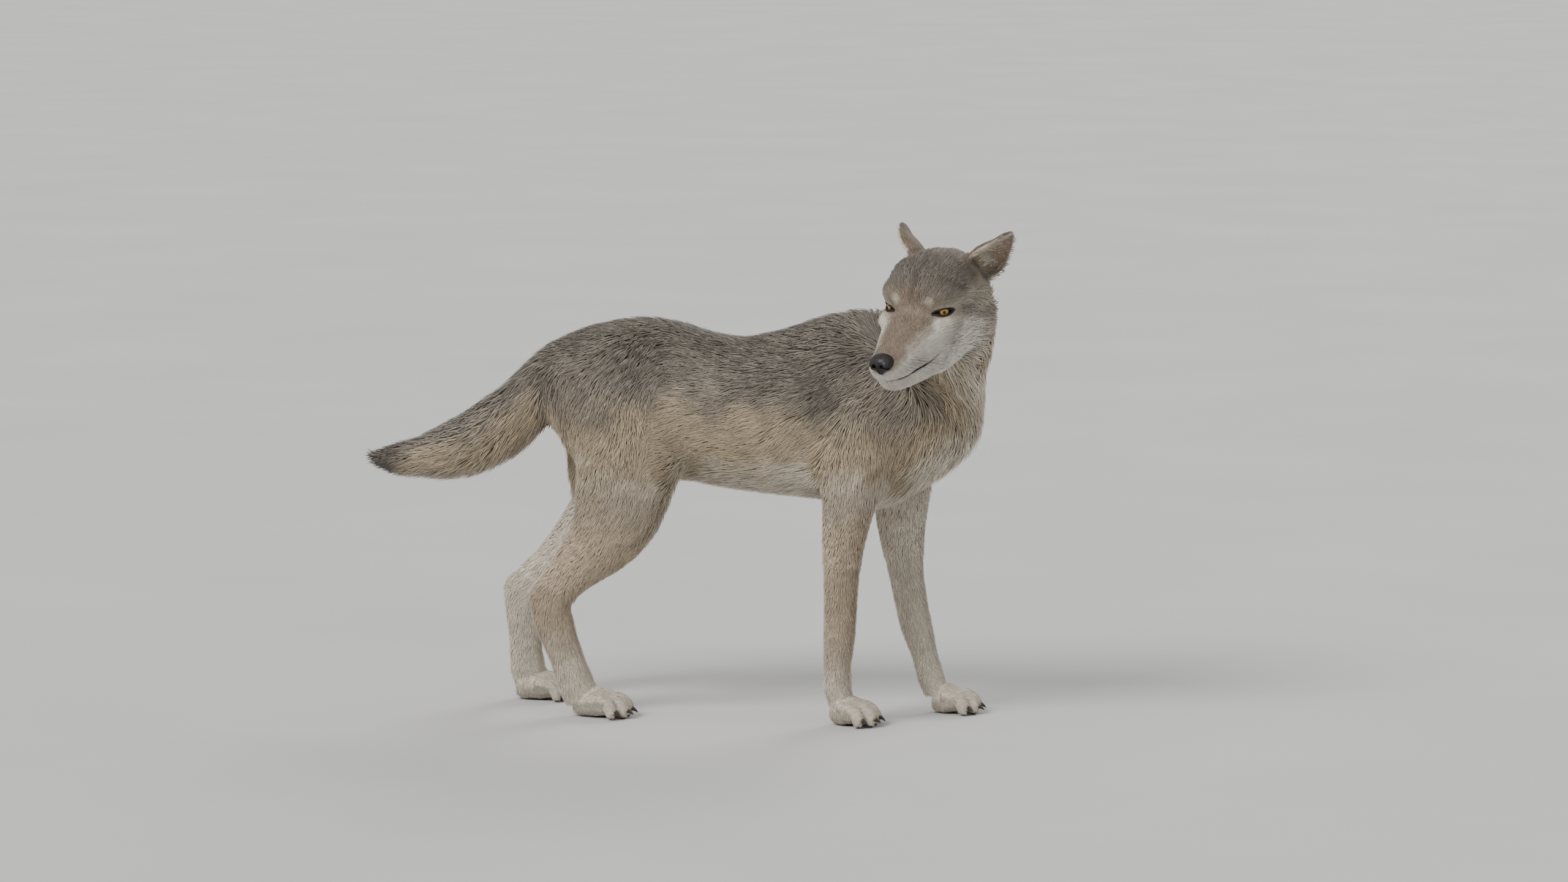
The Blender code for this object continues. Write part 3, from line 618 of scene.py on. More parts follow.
def fur_finish():
    """Dry guard hair, grown and weathered: a soft sheen along the lock and no hard shine.

    Each lock's own map splits it into hairs about 0.3 mm across. Patches 26 mm across are dustier.
    """
    finish, tree, shader = finish_named(
        "wolf_guard_hair", Roughness=0.58, Specular_IOR_Level=0.28, Sheen_Weight=0.10, Sheen_Roughness=0.45
    )
    colour = node(tree, "Attribute", {"attribute_name": "coat"}).outputs["Color"]
    strand = node(tree, "UVMap", {"uv_map": "strand"}).outputs["UV"]
    flat = {"noise_dimensions": "2D"}
    hairs = node(tree, "TexNoise", flat, Vector=strand, Scale=1.7, Detail=2.0).outputs["Fac"]
    shades = {"stops": ((0.30, 0.62), (0.52, 0.95), (0.72, 1.15))}
    split = node(tree, "ValToRGB", shades, Fac=hairs).outputs["Color"]
    place = node(tree, "TexCoord").outputs["Object"]
    patchy = node(tree, "TexNoise", Vector=place, Scale=1 / 0.026, Detail=3.0).outputs["Fac"]
    dusty = node(tree, "ValToRGB", {"stops": ((0.30, 0.88), (0.70, 1.08))}, Fac=patchy).outputs["Color"]
    haired = node(tree, "Mix", TINT, in0=1.0, in6=colour, in7=split).outputs[2]
    tinted = node(tree, "Mix", TINT, in0=1.0, in6=haired, in7=dusty).outputs[2]
    ridges = node(tree, "Bump", Strength=0.35, Distance=0.0006, Height=hairs).outputs["Normal"]
    wire(tree, shader, Base_Color=tinted, Normal=ridges)
    return finish


def skin_finish():
    """Woolly underfur over skin: close, matt and stippled 1.6 mm apart, so gaps between locks stay soft."""
    finish, tree, shader = finish_named("wolf_underfur", Roughness=0.70, Specular_IOR_Level=0.25)
    colour = node(tree, "Attribute", {"attribute_name": "coat"}).outputs["Color"]
    place = node(tree, "TexCoord").outputs["Object"]
    drawn = node(tree, "Mapping", Vector=place, Scale=(1.0, 2.2, 1.4)).outputs["Vector"]
    fine = node(tree, "TexNoise", Vector=drawn, Scale=1 / 0.0016, Detail=3.0).outputs["Fac"]
    coarse = node(tree, "TexNoise", Vector=place, Scale=1 / 0.007, Detail=2.0).outputs["Fac"]
    stipple = node(tree, "ValToRGB", {"stops": ((0.30, 0.70), (0.65, 1.10))}, Fac=fine).outputs["Color"]
    patches = node(tree, "ValToRGB", {"stops": ((0.30, 0.88), (0.70, 1.08))}, Fac=coarse).outputs["Color"]
    woolly = node(tree, "Mix", TINT, in0=1.0, in6=colour, in7=stipple).outputs[2]
    tinted = node(tree, "Mix", TINT, in0=1.0, in6=woolly, in7=patches).outputs[2]
    nap = node(tree, "Bump", Strength=0.45, Distance=0.0008, Height=fine).outputs["Normal"]
    wire(tree, shader, Base_Color=tinted, Normal=nap)
    return finish


def nose_finish():
    """Moist black nose leather, grown in pebbles 1.3 mm across: a broken wet shine, and painted shade
    darkening the creases between the pebbles.
    """
    finish, tree, shader = finish_named(
        "wolf_nose_leather", Specular_IOR_Level=0.35, Coat_Weight=0.15, Coat_Roughness=0.30
    )
    place = node(tree, "TexCoord").outputs["Object"]
    edges = node(tree, "TexVoronoi", {"feature": "DISTANCE_TO_EDGE"}, Vector=place, Scale=1 / 0.0013)
    pebbles = {"stops": ((0.0, 0.0), (0.16, 0.8), (0.45, 1.0))}
    pebbles = node(tree, "ValToRGB", pebbles, Fac=edges.outputs["Distance"]).outputs["Color"]
    broad = node(tree, "TexNoise", Vector=place, Scale=1 / 0.006, Detail=3.0).outputs["Fac"]
    blacks = {"stops": ((0.35, linear("0f0c0b")), (0.70, linear("211b19")))}
    leather = node(tree, "ValToRGB", blacks, Fac=broad).outputs["Color"]
    # painted shade in the creases: the leather darkened by up to 45 percent towards the edges of the pebbles
    crease_shaded = node(tree, "Mix", TINT, in0=0.45, in6=leather, in7=pebbles).outputs[2]
    damp = node(tree, "ValToRGB", {"stops": ((0.3, 0.28), (0.7, 0.50))}, Fac=broad).outputs["Color"]
    grain = node(tree, "Bump", Strength=0.55, Distance=0.0004, Height=pebbles).outputs["Normal"]
    wire(tree, shader, Base_Color=crease_shaded, Roughness=damp, Normal=grain)
    return finish


def horn_finish():
    """Claw keratin, grown in lengthwise fibres and ground blunt by walking: dark, streaked, half dull."""
    finish, tree, shader = finish_named("wolf_claw_horn", Specular_IOR_Level=0.5)
    place = node(tree, "TexCoord").outputs["Object"]
    drawn = node(tree, "Mapping", Vector=place, Scale=(0.25, 1.0, 1.0)).outputs["Vector"]
    fibres = node(tree, "TexNoise", Vector=drawn, Scale=1 / 0.0011, Detail=3.0).outputs["Fac"]
    browns = {"stops": ((0.30, linear("1f1a17")), (0.55, linear("3a312b")), (0.80, linear("6b5c4e")))}
    streaks = node(tree, "ValToRGB", browns, Fac=fibres).outputs["Color"]
    worn = node(tree, "ValToRGB", {"stops": ((0.3, 0.34), (0.7, 0.55))}, Fac=fibres).outputs["Color"]
    ridges = node(tree, "Bump", Strength=0.25, Distance=0.0003, Height=fibres).outputs["Normal"]
    wire(tree, shader, Base_Color=streaks, Roughness=worn, Normal=ridges)
    return finish


def eye_finish():
    """The wet eye: tear film over cornea gives a sharp highlight; iris tissue below is flecked 0.7 mm."""
    finish, tree, shader = finish_named(
        "wolf_wet_eye", Roughness=0.18, Specular_IOR_Level=0.25, Coat_Weight=0.55, Coat_Roughness=0.02
    )
    colour = node(tree, "Attribute", {"attribute_name": "iris"}).outputs["Color"]
    place = node(tree, "TexCoord").outputs["Object"]
    flecks = node(tree, "TexNoise", Vector=place, Scale=1 / 0.0007, Detail=3.0).outputs["Fac"]
    tissue = node(tree, "ValToRGB", {"stops": ((0.30, 0.80), (0.70, 1.12))}, Fac=flecks).outputs["Color"]
    wire(tree, shader, Base_Color=node(tree, "Mix", TINT, in0=1.0, in6=colour, in7=tissue).outputs[2])
    return finish


def whisker_finish():
    """Stiff dark bristle with a slight natural gloss, a little paler every 8 mm or so."""
    finish, tree, shader = finish_named("wolf_whisker", Roughness=0.40, Specular_IOR_Level=0.5)
    place = node(tree, "TexCoord").outputs["Object"]
    bands = node(tree, "TexNoise", Vector=place, Scale=1 / 0.008, Detail=2.0).outputs["Fac"]
    darks = {"stops": ((0.30, linear("241f1c")), (0.70, linear("4a4039")))}
    wire(tree, shader, Base_Color=node(tree, "ValToRGB", darks, Fac=bands).outputs["Color"])
    return finish


# ---------------------------------------------------------------- markings
BLACK_HAIR, DARK_GREY, STEEL = linear("231f1d"), linear("4d463f"), linear("746c62")
SILVER, BUFF, CREAM = linear("ada393"), linear("ab9a80"), linear("d9cebb")
TAWNY, RUFOUS, WHITE_HAIR = linear("a68b6b"), linear("856a50"), linear("e9e3d7")
UNDERFUR, LIP_SKIN = linear("8d8374"), linear("1e1a19")


def unit(rows):
    """Each row over its own length."""
    return rows / np.maximum(np.linalg.norm(rows, axis=1, keepdims=True), 1e-9)


def ramp(value, start, end):
    """0 before start, 1 after end, and a smooth step between."""
    t = np.clip((value - start) / (end - start), 0, 1)
    return t * t * (3 - 2 * t)


def mixed(base, colour, share):
    """Rows of colour carried a share of the way from a base to another colour."""
    return base + (np.asarray(colour) - base) * np.asarray(share)[:, None]


def lattice_value(cells, seed):
    """A fixed number from 0 to 1 for each whole-numbered cell: its coordinates hashed."""
    n = cells.astype(np.int64) @ np.array([73856093, 19349663, 83492791]) + seed * 2654435761
    n = (n ^ (n >> 13)) * 1274126177 & 0xFFFFFFFF
    n = (n ^ (n >> 16)) * 2246822519 & 0xFFFFFFFF
    return ((n ^ (n >> 15)) & 0xFFFFFF) / 0xFFFFFF


def noise(points, size, seed=0):
    """Smooth noise from -1 to 1: values at the corners of cubes of a size, eased between them."""
    at = points / size
    cell = np.floor(at)
    f = at - cell
    f = f * f * (3 - 2 * f)
    total = 0
    for corner in np.ndindex(2, 2, 2):
        share = np.prod(np.where(np.array(corner) == 1, f, 1 - f), axis=1)
        total = total + share * lattice_value(cell + corner, seed)
    return total * 2 - 1


def trunk_markings(p, up):
    """Saddle, flank and belly by height and by how far the surface faces up."""
    wander = 0.35 * noise(p, 0.060, 3) + 0.2 * noise(p, 0.022, 4)
    level = (p[:, 2] - 0.600) / 0.150 * 0.75 + 0.45 * up + wander
    colour = np.tile(BUFF, (len(p), 1))
    colour = mixed(colour, STEEL, ramp(level, -0.30, 0.50))
    colour = mixed(colour, CREAM, ramp(-level, 0.45, 1.05))
    dark = ramp(level, 0.15, 1.00)
    yoke = np.exp(-(((p[:, 0] - 0.215 + 0.25 * (p[:, 2] - 0.65)) / 0.045) ** 2)) * ramp(level, -0.4, 0.5)
    return colour, np.clip(dark + 0.55 * yoke, 0, 1)


def tail_markings(p, up):
    """Grey above and buff below, a dark spot over the gland, and a black tip."""
    along = np.clip((-0.34 - p[:, 0]) / 0.40, 0, 1)
    colour = np.tile(BUFF, (len(p), 1))
    colour = mixed(colour, STEEL, ramp(up + 0.3 * noise(p, 0.03, 5), -0.3, 0.5))
    colour = mixed(colour, CREAM, 0.6 * ramp(-up, 0.3, 0.9))
    dark = 0.75 * ramp(up + 0.3 * noise(p, 0.03, 5), 0.0, 0.8)
    dark = np.maximum(dark, 0.95 * np.exp(-(((along - 0.27) / 0.07) ** 2)) * ramp(up, 0.2, 0.8))
    tip = ramp(along + 0.03 * noise(p, 0.02, 6), 0.68, 0.84)
    return mixed(colour, BLACK_HAIR, tip), np.maximum(dark, tip)


def leg_markings(p, out, key):
    """Tawny outside and in front above, cream inside and below; a faint dark line down the front."""
    side = key[1]
    outer = out[:, 1] * side
    high = ramp(p[:, 2] + 0.02 * noise(p, 0.04, 7), 0.30, 0.52)
    colour = np.tile(CREAM, (len(p), 1))
    colour = mixed(colour, TAWNY, 0.62 * ramp(outer + 0.3 * out[:, 0], -0.3, 0.7) * ramp(p[:, 2], 0.04, 0.22))
    colour = mixed(colour, STEEL, 0.60 * high * ramp(outer, -0.2, 0.5))
    dark = 0.45 * high * ramp(outer, 0.0, 0.7)
    if key[0] == "front":
        line = ramp(out[:, 0], 0.55, 0.95) * ramp(p[:, 2], 0.10, 0.20) * (1 - ramp(p[:, 2], 0.36, 0.46))
        dark = np.maximum(dark, 0.35 * line)
    else:
        dark = np.maximum(dark, 0.30 * ramp(-out[:, 0], 0.5, 0.95) * ramp(p[:, 2], 0.20, 0.34))
    return colour, dark


def neck_markings(p, up):
    """Grizzled nape, buff sides, cream throat and breast."""
    wander = 0.30 * noise(p, 0.05, 8) + 0.2 * noise(p, 0.02, 9)
    ahead = (p[:, 0] - 0.430) / 0.06
    level = 0.9 * up + 0.25 * (p[:, 2] - 0.72) / 0.1 - 0.35 * ahead + wander
    colour = np.tile(BUFF, (len(p), 1))
    colour = mixed(colour, STEEL, ramp(level, -0.2, 0.7))
    colour = mixed(colour, CREAM, ramp(-level, 0.15, 0.9))
    return colour, ramp(level, 0.1, 1.1)


def to_left(rows, h):
    """Rows in the head's frame, mirrored where a point lies on the right: the left ear serves for both."""
    return rows * np.where(h[:, 1:2] > 0, 1.0, (1.0, -1.0, 1.0))


def ear_place(h):
    """How far along its nearer ear a point of the head's frame lies, and how far from its line."""
    q = to_left(h, h)
    rise = EAR_TIP - EAR_BASE
    along = (q - EAR_BASE) @ rise / (rise @ rise)
    away = np.linalg.norm(q - EAR_BASE - np.clip(along, 0, 1)[:, None] * rise, axis=1)
    return along, away


def ear_across(h):
    """From -1 at the ear's front edge to 1 at its hind edge; the left ear's ways across, out and up."""
    rise = unit((EAR_TIP - EAR_BASE)[None])[0]
    opening = EAR_OPENING - rise * (EAR_OPENING @ rise)
    opening /= np.linalg.norm(opening)
    across = np.cross(rise, opening)
    return (to_left(h, h) - EAR_BASE) @ across / EAR_HALF_WIDTH, across, opening, rise


def ear_inside(h, out):
    """1 in the hollow of the ear, 0 on its back."""
    facing = to_left(out @ TURN[:3, :3], h) @ ear_across(h)[2]
    return ramp(facing, -0.05, 0.30) * in_ear(h)


def in_ear(h):
    """True within 52 mm of an ear's line, from a fiftieth of the way up it and clear of the crown."""
    along, away = ear_place(h)
    return (along > 0.02) & (away < 0.052) & (np.abs(h[:, 1]) > 0.042) & (h[:, 2] > 0.020)


def almond(points, side):
    """Distance out from the rim of the eye's opening, measured in the eye's own frame."""
    q = moved(np.linalg.inv(eye_frame(side)), points)
    inner, level = -side * q[:, 1], q[:, 2] - LID_SLANT * side * q[:, 1]
    a, b = EYE_OPENING
    bow = np.where(level > 0, *LID_BOWS) * b
    out = np.hypot(inner / a, level / bow) - 1
    beyond = np.maximum(0, np.maximum(inner - 0.022, 0.012 - inner))
    corner = np.maximum(np.abs(level + 0.0012) - 0.0012, 0) + beyond
    return np.where(q[:, 0] > -0.004, np.minimum(out * bow, corner), 1.0)


def eye_rim(points):
    """Distance out from the rim of the nearer eye's opening."""
    return np.minimum(almond(points, LEFT), almond(points, RIGHT))


def head_markings(p, h, out, nearest):
    """Face, crown, cheeks and throat: grizzled forehead, warm muzzle top, white muzzle, cheeks and chin."""
    x, y, z = h.T
    wide = np.abs(y)
    wander = 0.006 * noise(p, 0.018, 10) + 0.004 * noise(p, 0.007, 11)
    colour = np.tile(SILVER, (len(p), 1))
    # forehead and crown
    high = ramp(z + 0.10 * x + wander, 0.006, 0.036)
    colour = mixed(mixed(colour, STEEL, 0.95 * high), DARK_GREY, 0.30 * high)
    dark = 0.70 * high * ramp(-x, -0.020, 0.050) * (1 - 0.5 * ramp(-x, 0.070, 0.110))
    # muzzle: warm along the top, white below, and the white carried over the cheek and the chin
    bridge = z - (-0.003 - 0.26 * (x - 0.030)) + 0.020 - 0.15 * (wide - 0.02) + wander
    on_muzzle = ramp(x, -0.004, 0.018)
    warm = ramp(bridge, 0.000, 0.012) * on_muzzle
    colour = mixed(colour, RUFOUS, 0.58 * warm)
    colour = mixed(colour, STEEL, 0.30 * warm)
    dark = np.maximum(dark, 0.34 * warm)
    pale = ramp(-bridge, -0.002, 0.012) * on_muzzle
    cheek = ramp(-(z + 0.30 * (x - 0.02) + wander), 0.026, 0.050)
    cheek *= ramp(-x, -0.030, 0.010) * (1 - ramp(-x, 0.044, 0.084))
    pale = np.maximum(pale, cheek)
    pale = np.maximum(pale, ramp(-(z + wander), 0.082, 0.096) * ramp(x, -0.080, -0.040))
    colour = mixed(colour, WHITE_HAIR, 0.92 * pale)
    dark *= 1 - 0.92 * pale
    # a grey line back from the eye, the edge of the ruff, the furrow and the ridge of the brow
    stripe = np.abs(z + 0.010 - 0.32 * (x + 0.020) + wander) - 0.004
    burn = (1 - ramp(stripe, 0.004, 0.018)) * ramp(-x, 0.016, 0.040) * ramp(wide, 0.045, 0.065)
    colour = mixed(colour, STEEL, 0.55 * burn)
    dark = np.maximum(dark, 0.45 * burn)
    ruff = ramp(-(x + 0.35 * (z + 0.05) + wander), 0.086, 0.120) * ramp(wide, 0.045, 0.075)
    colour = mixed(colour, STEEL, 0.50 * ruff)
    dark = np.maximum(dark, 0.55 * ruff)
    furrow = (1 - ramp(wide + 0.3 * wander, 0.003, 0.010)) * high * ramp(x, -0.075, -0.045)
    dark = np.maximum(dark, 0.85 * furrow)
    ridge = ramp(-(x + wander), 0.050, 0.085) * ramp(z, 0.000, 0.030)
    colour = mixed(colour, RUFOUS, 0.28 * ridge)
    # a pale spot over each eye, a pale patch under it, and a dark line from its inner corner
    for side in (LEFT, RIGHT):
        spot = np.linalg.norm((h - (0.006, side * 0.034, 0.019)) / (0.017, 0.012, 0.010), axis=1)
        colour = mixed(colour, CREAM, 0.58 * (1 - ramp(spot, 0.3, 1.3)))
        dark *= ramp(spot, 0.3, 1.3)
        under = np.linalg.norm((h - (0.004, side * 0.060, -0.022)) / (0.034, 0.024, 0.013), axis=1)
        colour = mixed(colour, CREAM, 0.80 * (1 - ramp(under, 0.5, 1.3)))
        dark *= ramp(under, 0.4, 1.2)
        tear = np.abs(y * side - 0.032 + 0.25 * (x - 0.010)) + np.abs(z + 0.012 + 0.45 * (x - 0.010)) * 0.8
        line = (1 - ramp(tear, 0.002, 0.007)) * ramp(x, 0.004, 0.010) * (1 - ramp(x, 0.020, 0.040))
        dark = np.maximum(dark, 0.65 * line)
    lip = np.abs(z - mouth_height(x))
    shade = (1 - ramp(lip, 0.0018, 0.0040)) * ramp(x, 0.036, 0.046)
    colour = mixed(colour, LIP_SKIN, shade)
    # towards the neck the colours run into the neck's own
    nape, nape_dark = neck_markings(p, out[:, 2])
    share = np.maximum((-x - 0.095) / 0.050, (-z - 0.122) / 0.030)
    share = np.maximum(share, (wide - 0.080) / 0.018 * ramp(-x, 0.030, 0.050))
    share = np.maximum(share, (-z - 0.092) / 0.020 * ramp(-x, 0.020, 0.042))
    share = np.maximum(share, (nearest - 0.040) / 0.018 - 2 * ramp(z, -0.010, 0.020)).clip(0, 1)
    share = share * share * (3 - 2 * share)
    colour = colour + (nape - colour) * share[:, None]
    dark = dark + (nape_dark - dark) * share
    # ears: warm grey backs with dark edges and tips, cream inside
    ear = in_ear(h)
    along = ear_place(h)[0]
    back = mixed(np.tile(RUFOUS, (len(p), 1)), STEEL, 0.45 + 0.25 * noise(p, 0.012, 12))
    edge = np.abs(ear_across(h)[0])
    border = 0.40 * ramp(edge, 0.70, 0.95) * ramp(along, 0.1, 0.4)
    back = mixed(back, BLACK_HAIR, 0.55 * ramp(along, 0.55, 1.0) + border)
    inner = ear_inside(h, out)
    ears = back + (CREAM - back) * inner[:, None]
    colour[ear] = ears[ear]
    dark[ear] = (0.35 * (1 - inner))[ear]
    # bare dark rims of the eyes
    near = 1 - ramp(eye_rim(p + ORIGIN), 0.0010, 0.0034)
    return mixed(colour, LIP_SKIN, near), np.maximum(dark, 0.9 * near)


def markings(points, out, index, nearest):
    """The hair's colour and how far its tips are black, at points of the body with their normals."""
    region = REGIONS[index]
    colour, dark = np.tile(BUFF, (len(points), 1)), np.zeros(len(points))
    p, h = points - ORIGIN, moved(INTO_HEAD, points)
    up = out[:, 2]
    for regions, painter in (
        (TRUNK_REGIONS, trunk_markings), (("tail",), tail_markings), (NECK_REGIONS, neck_markings),
    ):
        on = np.isin(region, regions)
        colour[on], dark[on] = painter(p[on], up[on])
    on = np.isin(region, HEAD_REGIONS)
    colour[on], dark[on] = head_markings(p[on], h[on], out[on], nearest[on])
    for key in LEG_PATHS:
        on = np.isin(region, ("leg_" + key[0], "paw")) & (p[:, 1] * key[1] > 0)
        on &= (p[:, 0] > 0.02) == (key[0] == "front")
        legs, darker = leg_markings(p[on], out[on], key)
        upper = ramp(p[on][:, 2] + 0.03 * noise(p[on], 0.05, 13), 0.36, 0.56)
        trunk, trunk_dark = trunk_markings(p[on], up[on])
        colour[on] = legs + (trunk - legs) * upper[:, None]
        dark[on] = darker + (trunk_dark - darker) * upper
    return colour * (1 + 0.10 * noise(points, 0.009, 14))[:, None], dark


# ---------------------------------------------------------------- skin object
HEAD_TRIANGLES, BODY_TRIANGLES, PAW_TRIANGLES = 90000, 64000, 8500


def unwrap(obj):
    """Turns an object into triangles and lays out a map of its surface, named OFBake."""
    applied(obj, "TRIANGULATE")
    obj.data.uv_layers.new(name="OFBake")
    bpy.context.view_layer.objects.active = obj
    obj.select_set(True)
    bpy.ops.object.mode_set(mode="EDIT")
    bpy.ops.mesh.select_all(action="SELECT")
    bpy.ops.uv.smart_project(angle_limit=math.radians(66), island_margin=0.001)
    bpy.ops.object.mode_set(mode="OBJECT")


def paint(obj, colours, name="coat"):
    """Gives each point of an object a colour, kept as a named attribute."""
    layer = obj.data.color_attributes.new(name, "FLOAT_COLOR", "POINT")
    rgba = np.ones((len(colours), 4), np.float32)
    rgba[:, :3] = np.clip(colours, 0, 1)
    layer.data.foreach_set("color", rgba.ravel())


def pad_share(points):
    """1 on the soles and 0 from 6 mm up."""
    return 1 - ramp(points[:, 2], 0.003, 0.0065)


def make_skin():
    """One skin of head, body and feet, unwrapped, painted with the markings of the coat."""
    skin = united(thinned(head_skin(), HEAD_TRIANGLES), thinned(body_skin(), BODY_TRIANGLES))
    for key in PAWS:
        skin = united(skin, thinned(paw_skin(key), PAW_TRIANGLES))
    skin.name = "skin"
    unwrap(skin)
    points, _, out = triangle_arrays(skin)
    depth, _, index, nearest = bone_field(points)
    colour, dark = markings(points, out, index, nearest)
    # painted shade under the locks: the skin's colour darkened to 0.8 and the underfur's to 0.7, with
    # underfur colour mixed in where the coat is deep
    colour = mixed(colour * 0.80, UNDERFUR * 0.70, 0.5 * ramp(depth, 0.006, 0.016))
    colour = mixed(colour, colour * 0.45, dark)
    colour = mixed(colour, LIP_SKIN * 1.3, pad_share(points))
    h = moved(INTO_HEAD, points)
    muzzle = np.linalg.norm((h - NOSE_AT) / (0.020, 0.026, 0.020), axis=1)
    bare = np.maximum(1 - ramp(eye_rim(points), 0.0012, 0.0032), 1 - ramp(muzzle, 0.75, 1.0))
    colour = mixed(colour, linear("85705f"), 0.8 * ear_inside(h, out))
    paint(skin, mixed(colour, LIP_SKIN, bare))
    skin.data.materials.clear()
    skin.data.materials.append(skin_finish())
    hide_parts(*FLESH)
    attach(skin, "root")
    return skin


# ---------------------------------------------------------------- the coat
def roots(points, faces, density, rng):
    """Places strewn over triangles by area times density: the triangle and its corners' shares."""
    a, b, c = (points[faces[:, k]] for k in range(3))
    total = np.cumsum(np.linalg.norm(np.cross(b - a, c - a), axis=1) / 2 * density)
    count = int(total[-1])
    at = np.minimum(np.searchsorted(total, np.arange(count) + rng.random(count)), len(faces) - 1)
    u, v = np.sqrt(rng.random(count)), rng.random(count)
    return at, np.stack([1 - u, u * (1 - v), u * v], axis=1)


def clump_centres(points, size, seed):
    """The nearest of one scattered point in each cube of a size."""
    cell = np.floor(points / size)
    best, where = np.full(len(points), 9.0), points.copy()
    for step in np.ndindex(3, 3, 3):
        near = cell + np.array(step) - 1
        spot = (near + np.stack([lattice_value(near, seed + k) for k in range(3)], axis=1)) * size
        away = np.linalg.norm(spot - points, axis=1)
        closer = away < best
        best[closer], where[closer] = away[closer], spot[closer]
    return where


def around(rows, axis, angle):
    """Rows turned about unit axes square to them."""
    return rows * np.cos(angle)[:, None] + np.cross(axis, rows) * np.sin(angle)[:, None]


HAIR_SHARE = 0.73          # locks to each square of skin as wide as SPACING of a lock
SPACING = 0.85             # of a lock's width
PIECE_TRIANGLES = 190000   # at most, in one piece of the coat
SHORT, MIDDLING, LONG = 0.0070, 0.0120, 0.0235   # depths of coat where locks and clumps change
CLUMPS = (0.019, 0.013, 0.009)   # widths of clumps in long, middling and short coats
SMALL_CLUMP = 0.006        # and in the shortest
LOCK_WIDTH = (0.0011, 0.082)   # a lock's width: so much, and so much more for each metre of depth
LOCK_LENGTH = (0.0025, 2.15)   # its length in the same way
EAR_HAIR_WIDTH, EAR_HAIR_HEIGHT, EAR_HAIR_LENGTH = 0.0016, 0.0014, 0.0095
FRINGE_WIDTH, FRINGE_HEIGHT, FRINGE_LENGTH = 0.0008, 0.0060, 0.0185   # the long hair inside the ears
HIGHEST_SPIKE = 0.0060
ROOT_SUNK = 0.0008         # how far a root lies under the skin
FLOOR_GAP = 0.0004         # how far hair stays over the floor
PATCH = 0.0030             # how wide a lock's patch is on the skin's map
# How a lock is built: places of its rings from root to tip, their width, and whether the root is
# a ring (a spike) or a point.
SHAPES = {
    "spike": ((0.0,), (1.0,), True),
    "lock": ((0.40,), (1.0,), False),
    "long_lock": ((0.28, 0.64), (1.0, 0.74), False),
}


def lock_faces(rings, open_root):
    """Triangles of one lock and each corner's place in its patch: across 0 to 1, along 0 to 1.

    Points run root, then left, right and top of each ring, then tip; left to top to right is the
    upper side, and right back to left is the under side.
    """
    base = 0 if open_root else 1
    tip = base + 3 * rings
    spans = ((0, 1, 1.0, 0.66), (1, 2, 0.66, 0.33), (2, 0, 0.33, 0.0))
    faces, patch = [], []
    for a, b, ua, ub in spans:
        if not open_root:
            faces.append((b + base, a + base, 0))
            patch.append(((ub, 0.3), (ua, 0.3), ((ua + ub) / 2, 0.0)))
        for k in range(rings - 1):
            low, high = base + 3 * k, base + 3 * k + 3
            v, w = 0.3 + 0.4 * k / rings, 0.3 + 0.4 * (k + 1) / rings
            faces += [(a + low, b + low, b + high), (a + low, b + high, a + high)]
            patch += [((ua, v), (ub, v), (ub, w)), ((ua, v), (ub, w), (ua, w))]
        last = base + 3 * (rings - 1)
        faces.append((a + last, b + last, tip))
        patch.append(((ua, 0.7), (ub, 0.7), ((ua + ub) / 2, 1.0)))
    if open_root:
        faces.append((0, 2, 1))
        patch.append(((0.0, 0.3), (0.5, 0.0), (1.0, 0.3)))
    return np.array(faces), np.array(patch)


def sampled(cells, first, pitch, points):
    """A field's values between its cells, each from its eight corners."""
    q = np.clip(points / pitch - first, 0, np.array(cells.shape[:3]) - 1.001)
    cell = q.astype(int)
    f = q - cell
    total = 0
    for corner in np.ndindex(2, 2, 2):
        share = np.prod(np.where(np.array(corner) == 1, f, 1 - f), axis=1)
        total = total + share[:, None] * cells[tuple((cell + corner).T)]
    return total


def skin_field(points, faces):
    """Distance above the skin and its slope, on cells of 6 mm: four values to a cell."""
    pitch = 0.006
    first, size = box_cells(points.min(axis=0) - 0.05, points.max(axis=0) + 0.05, pitch)
    cells = softened(distance(points, faces, first, size, pitch, 12), 1)
    return np.stack([cells, *np.gradient(cells, pitch)], axis=-1), first, pitch


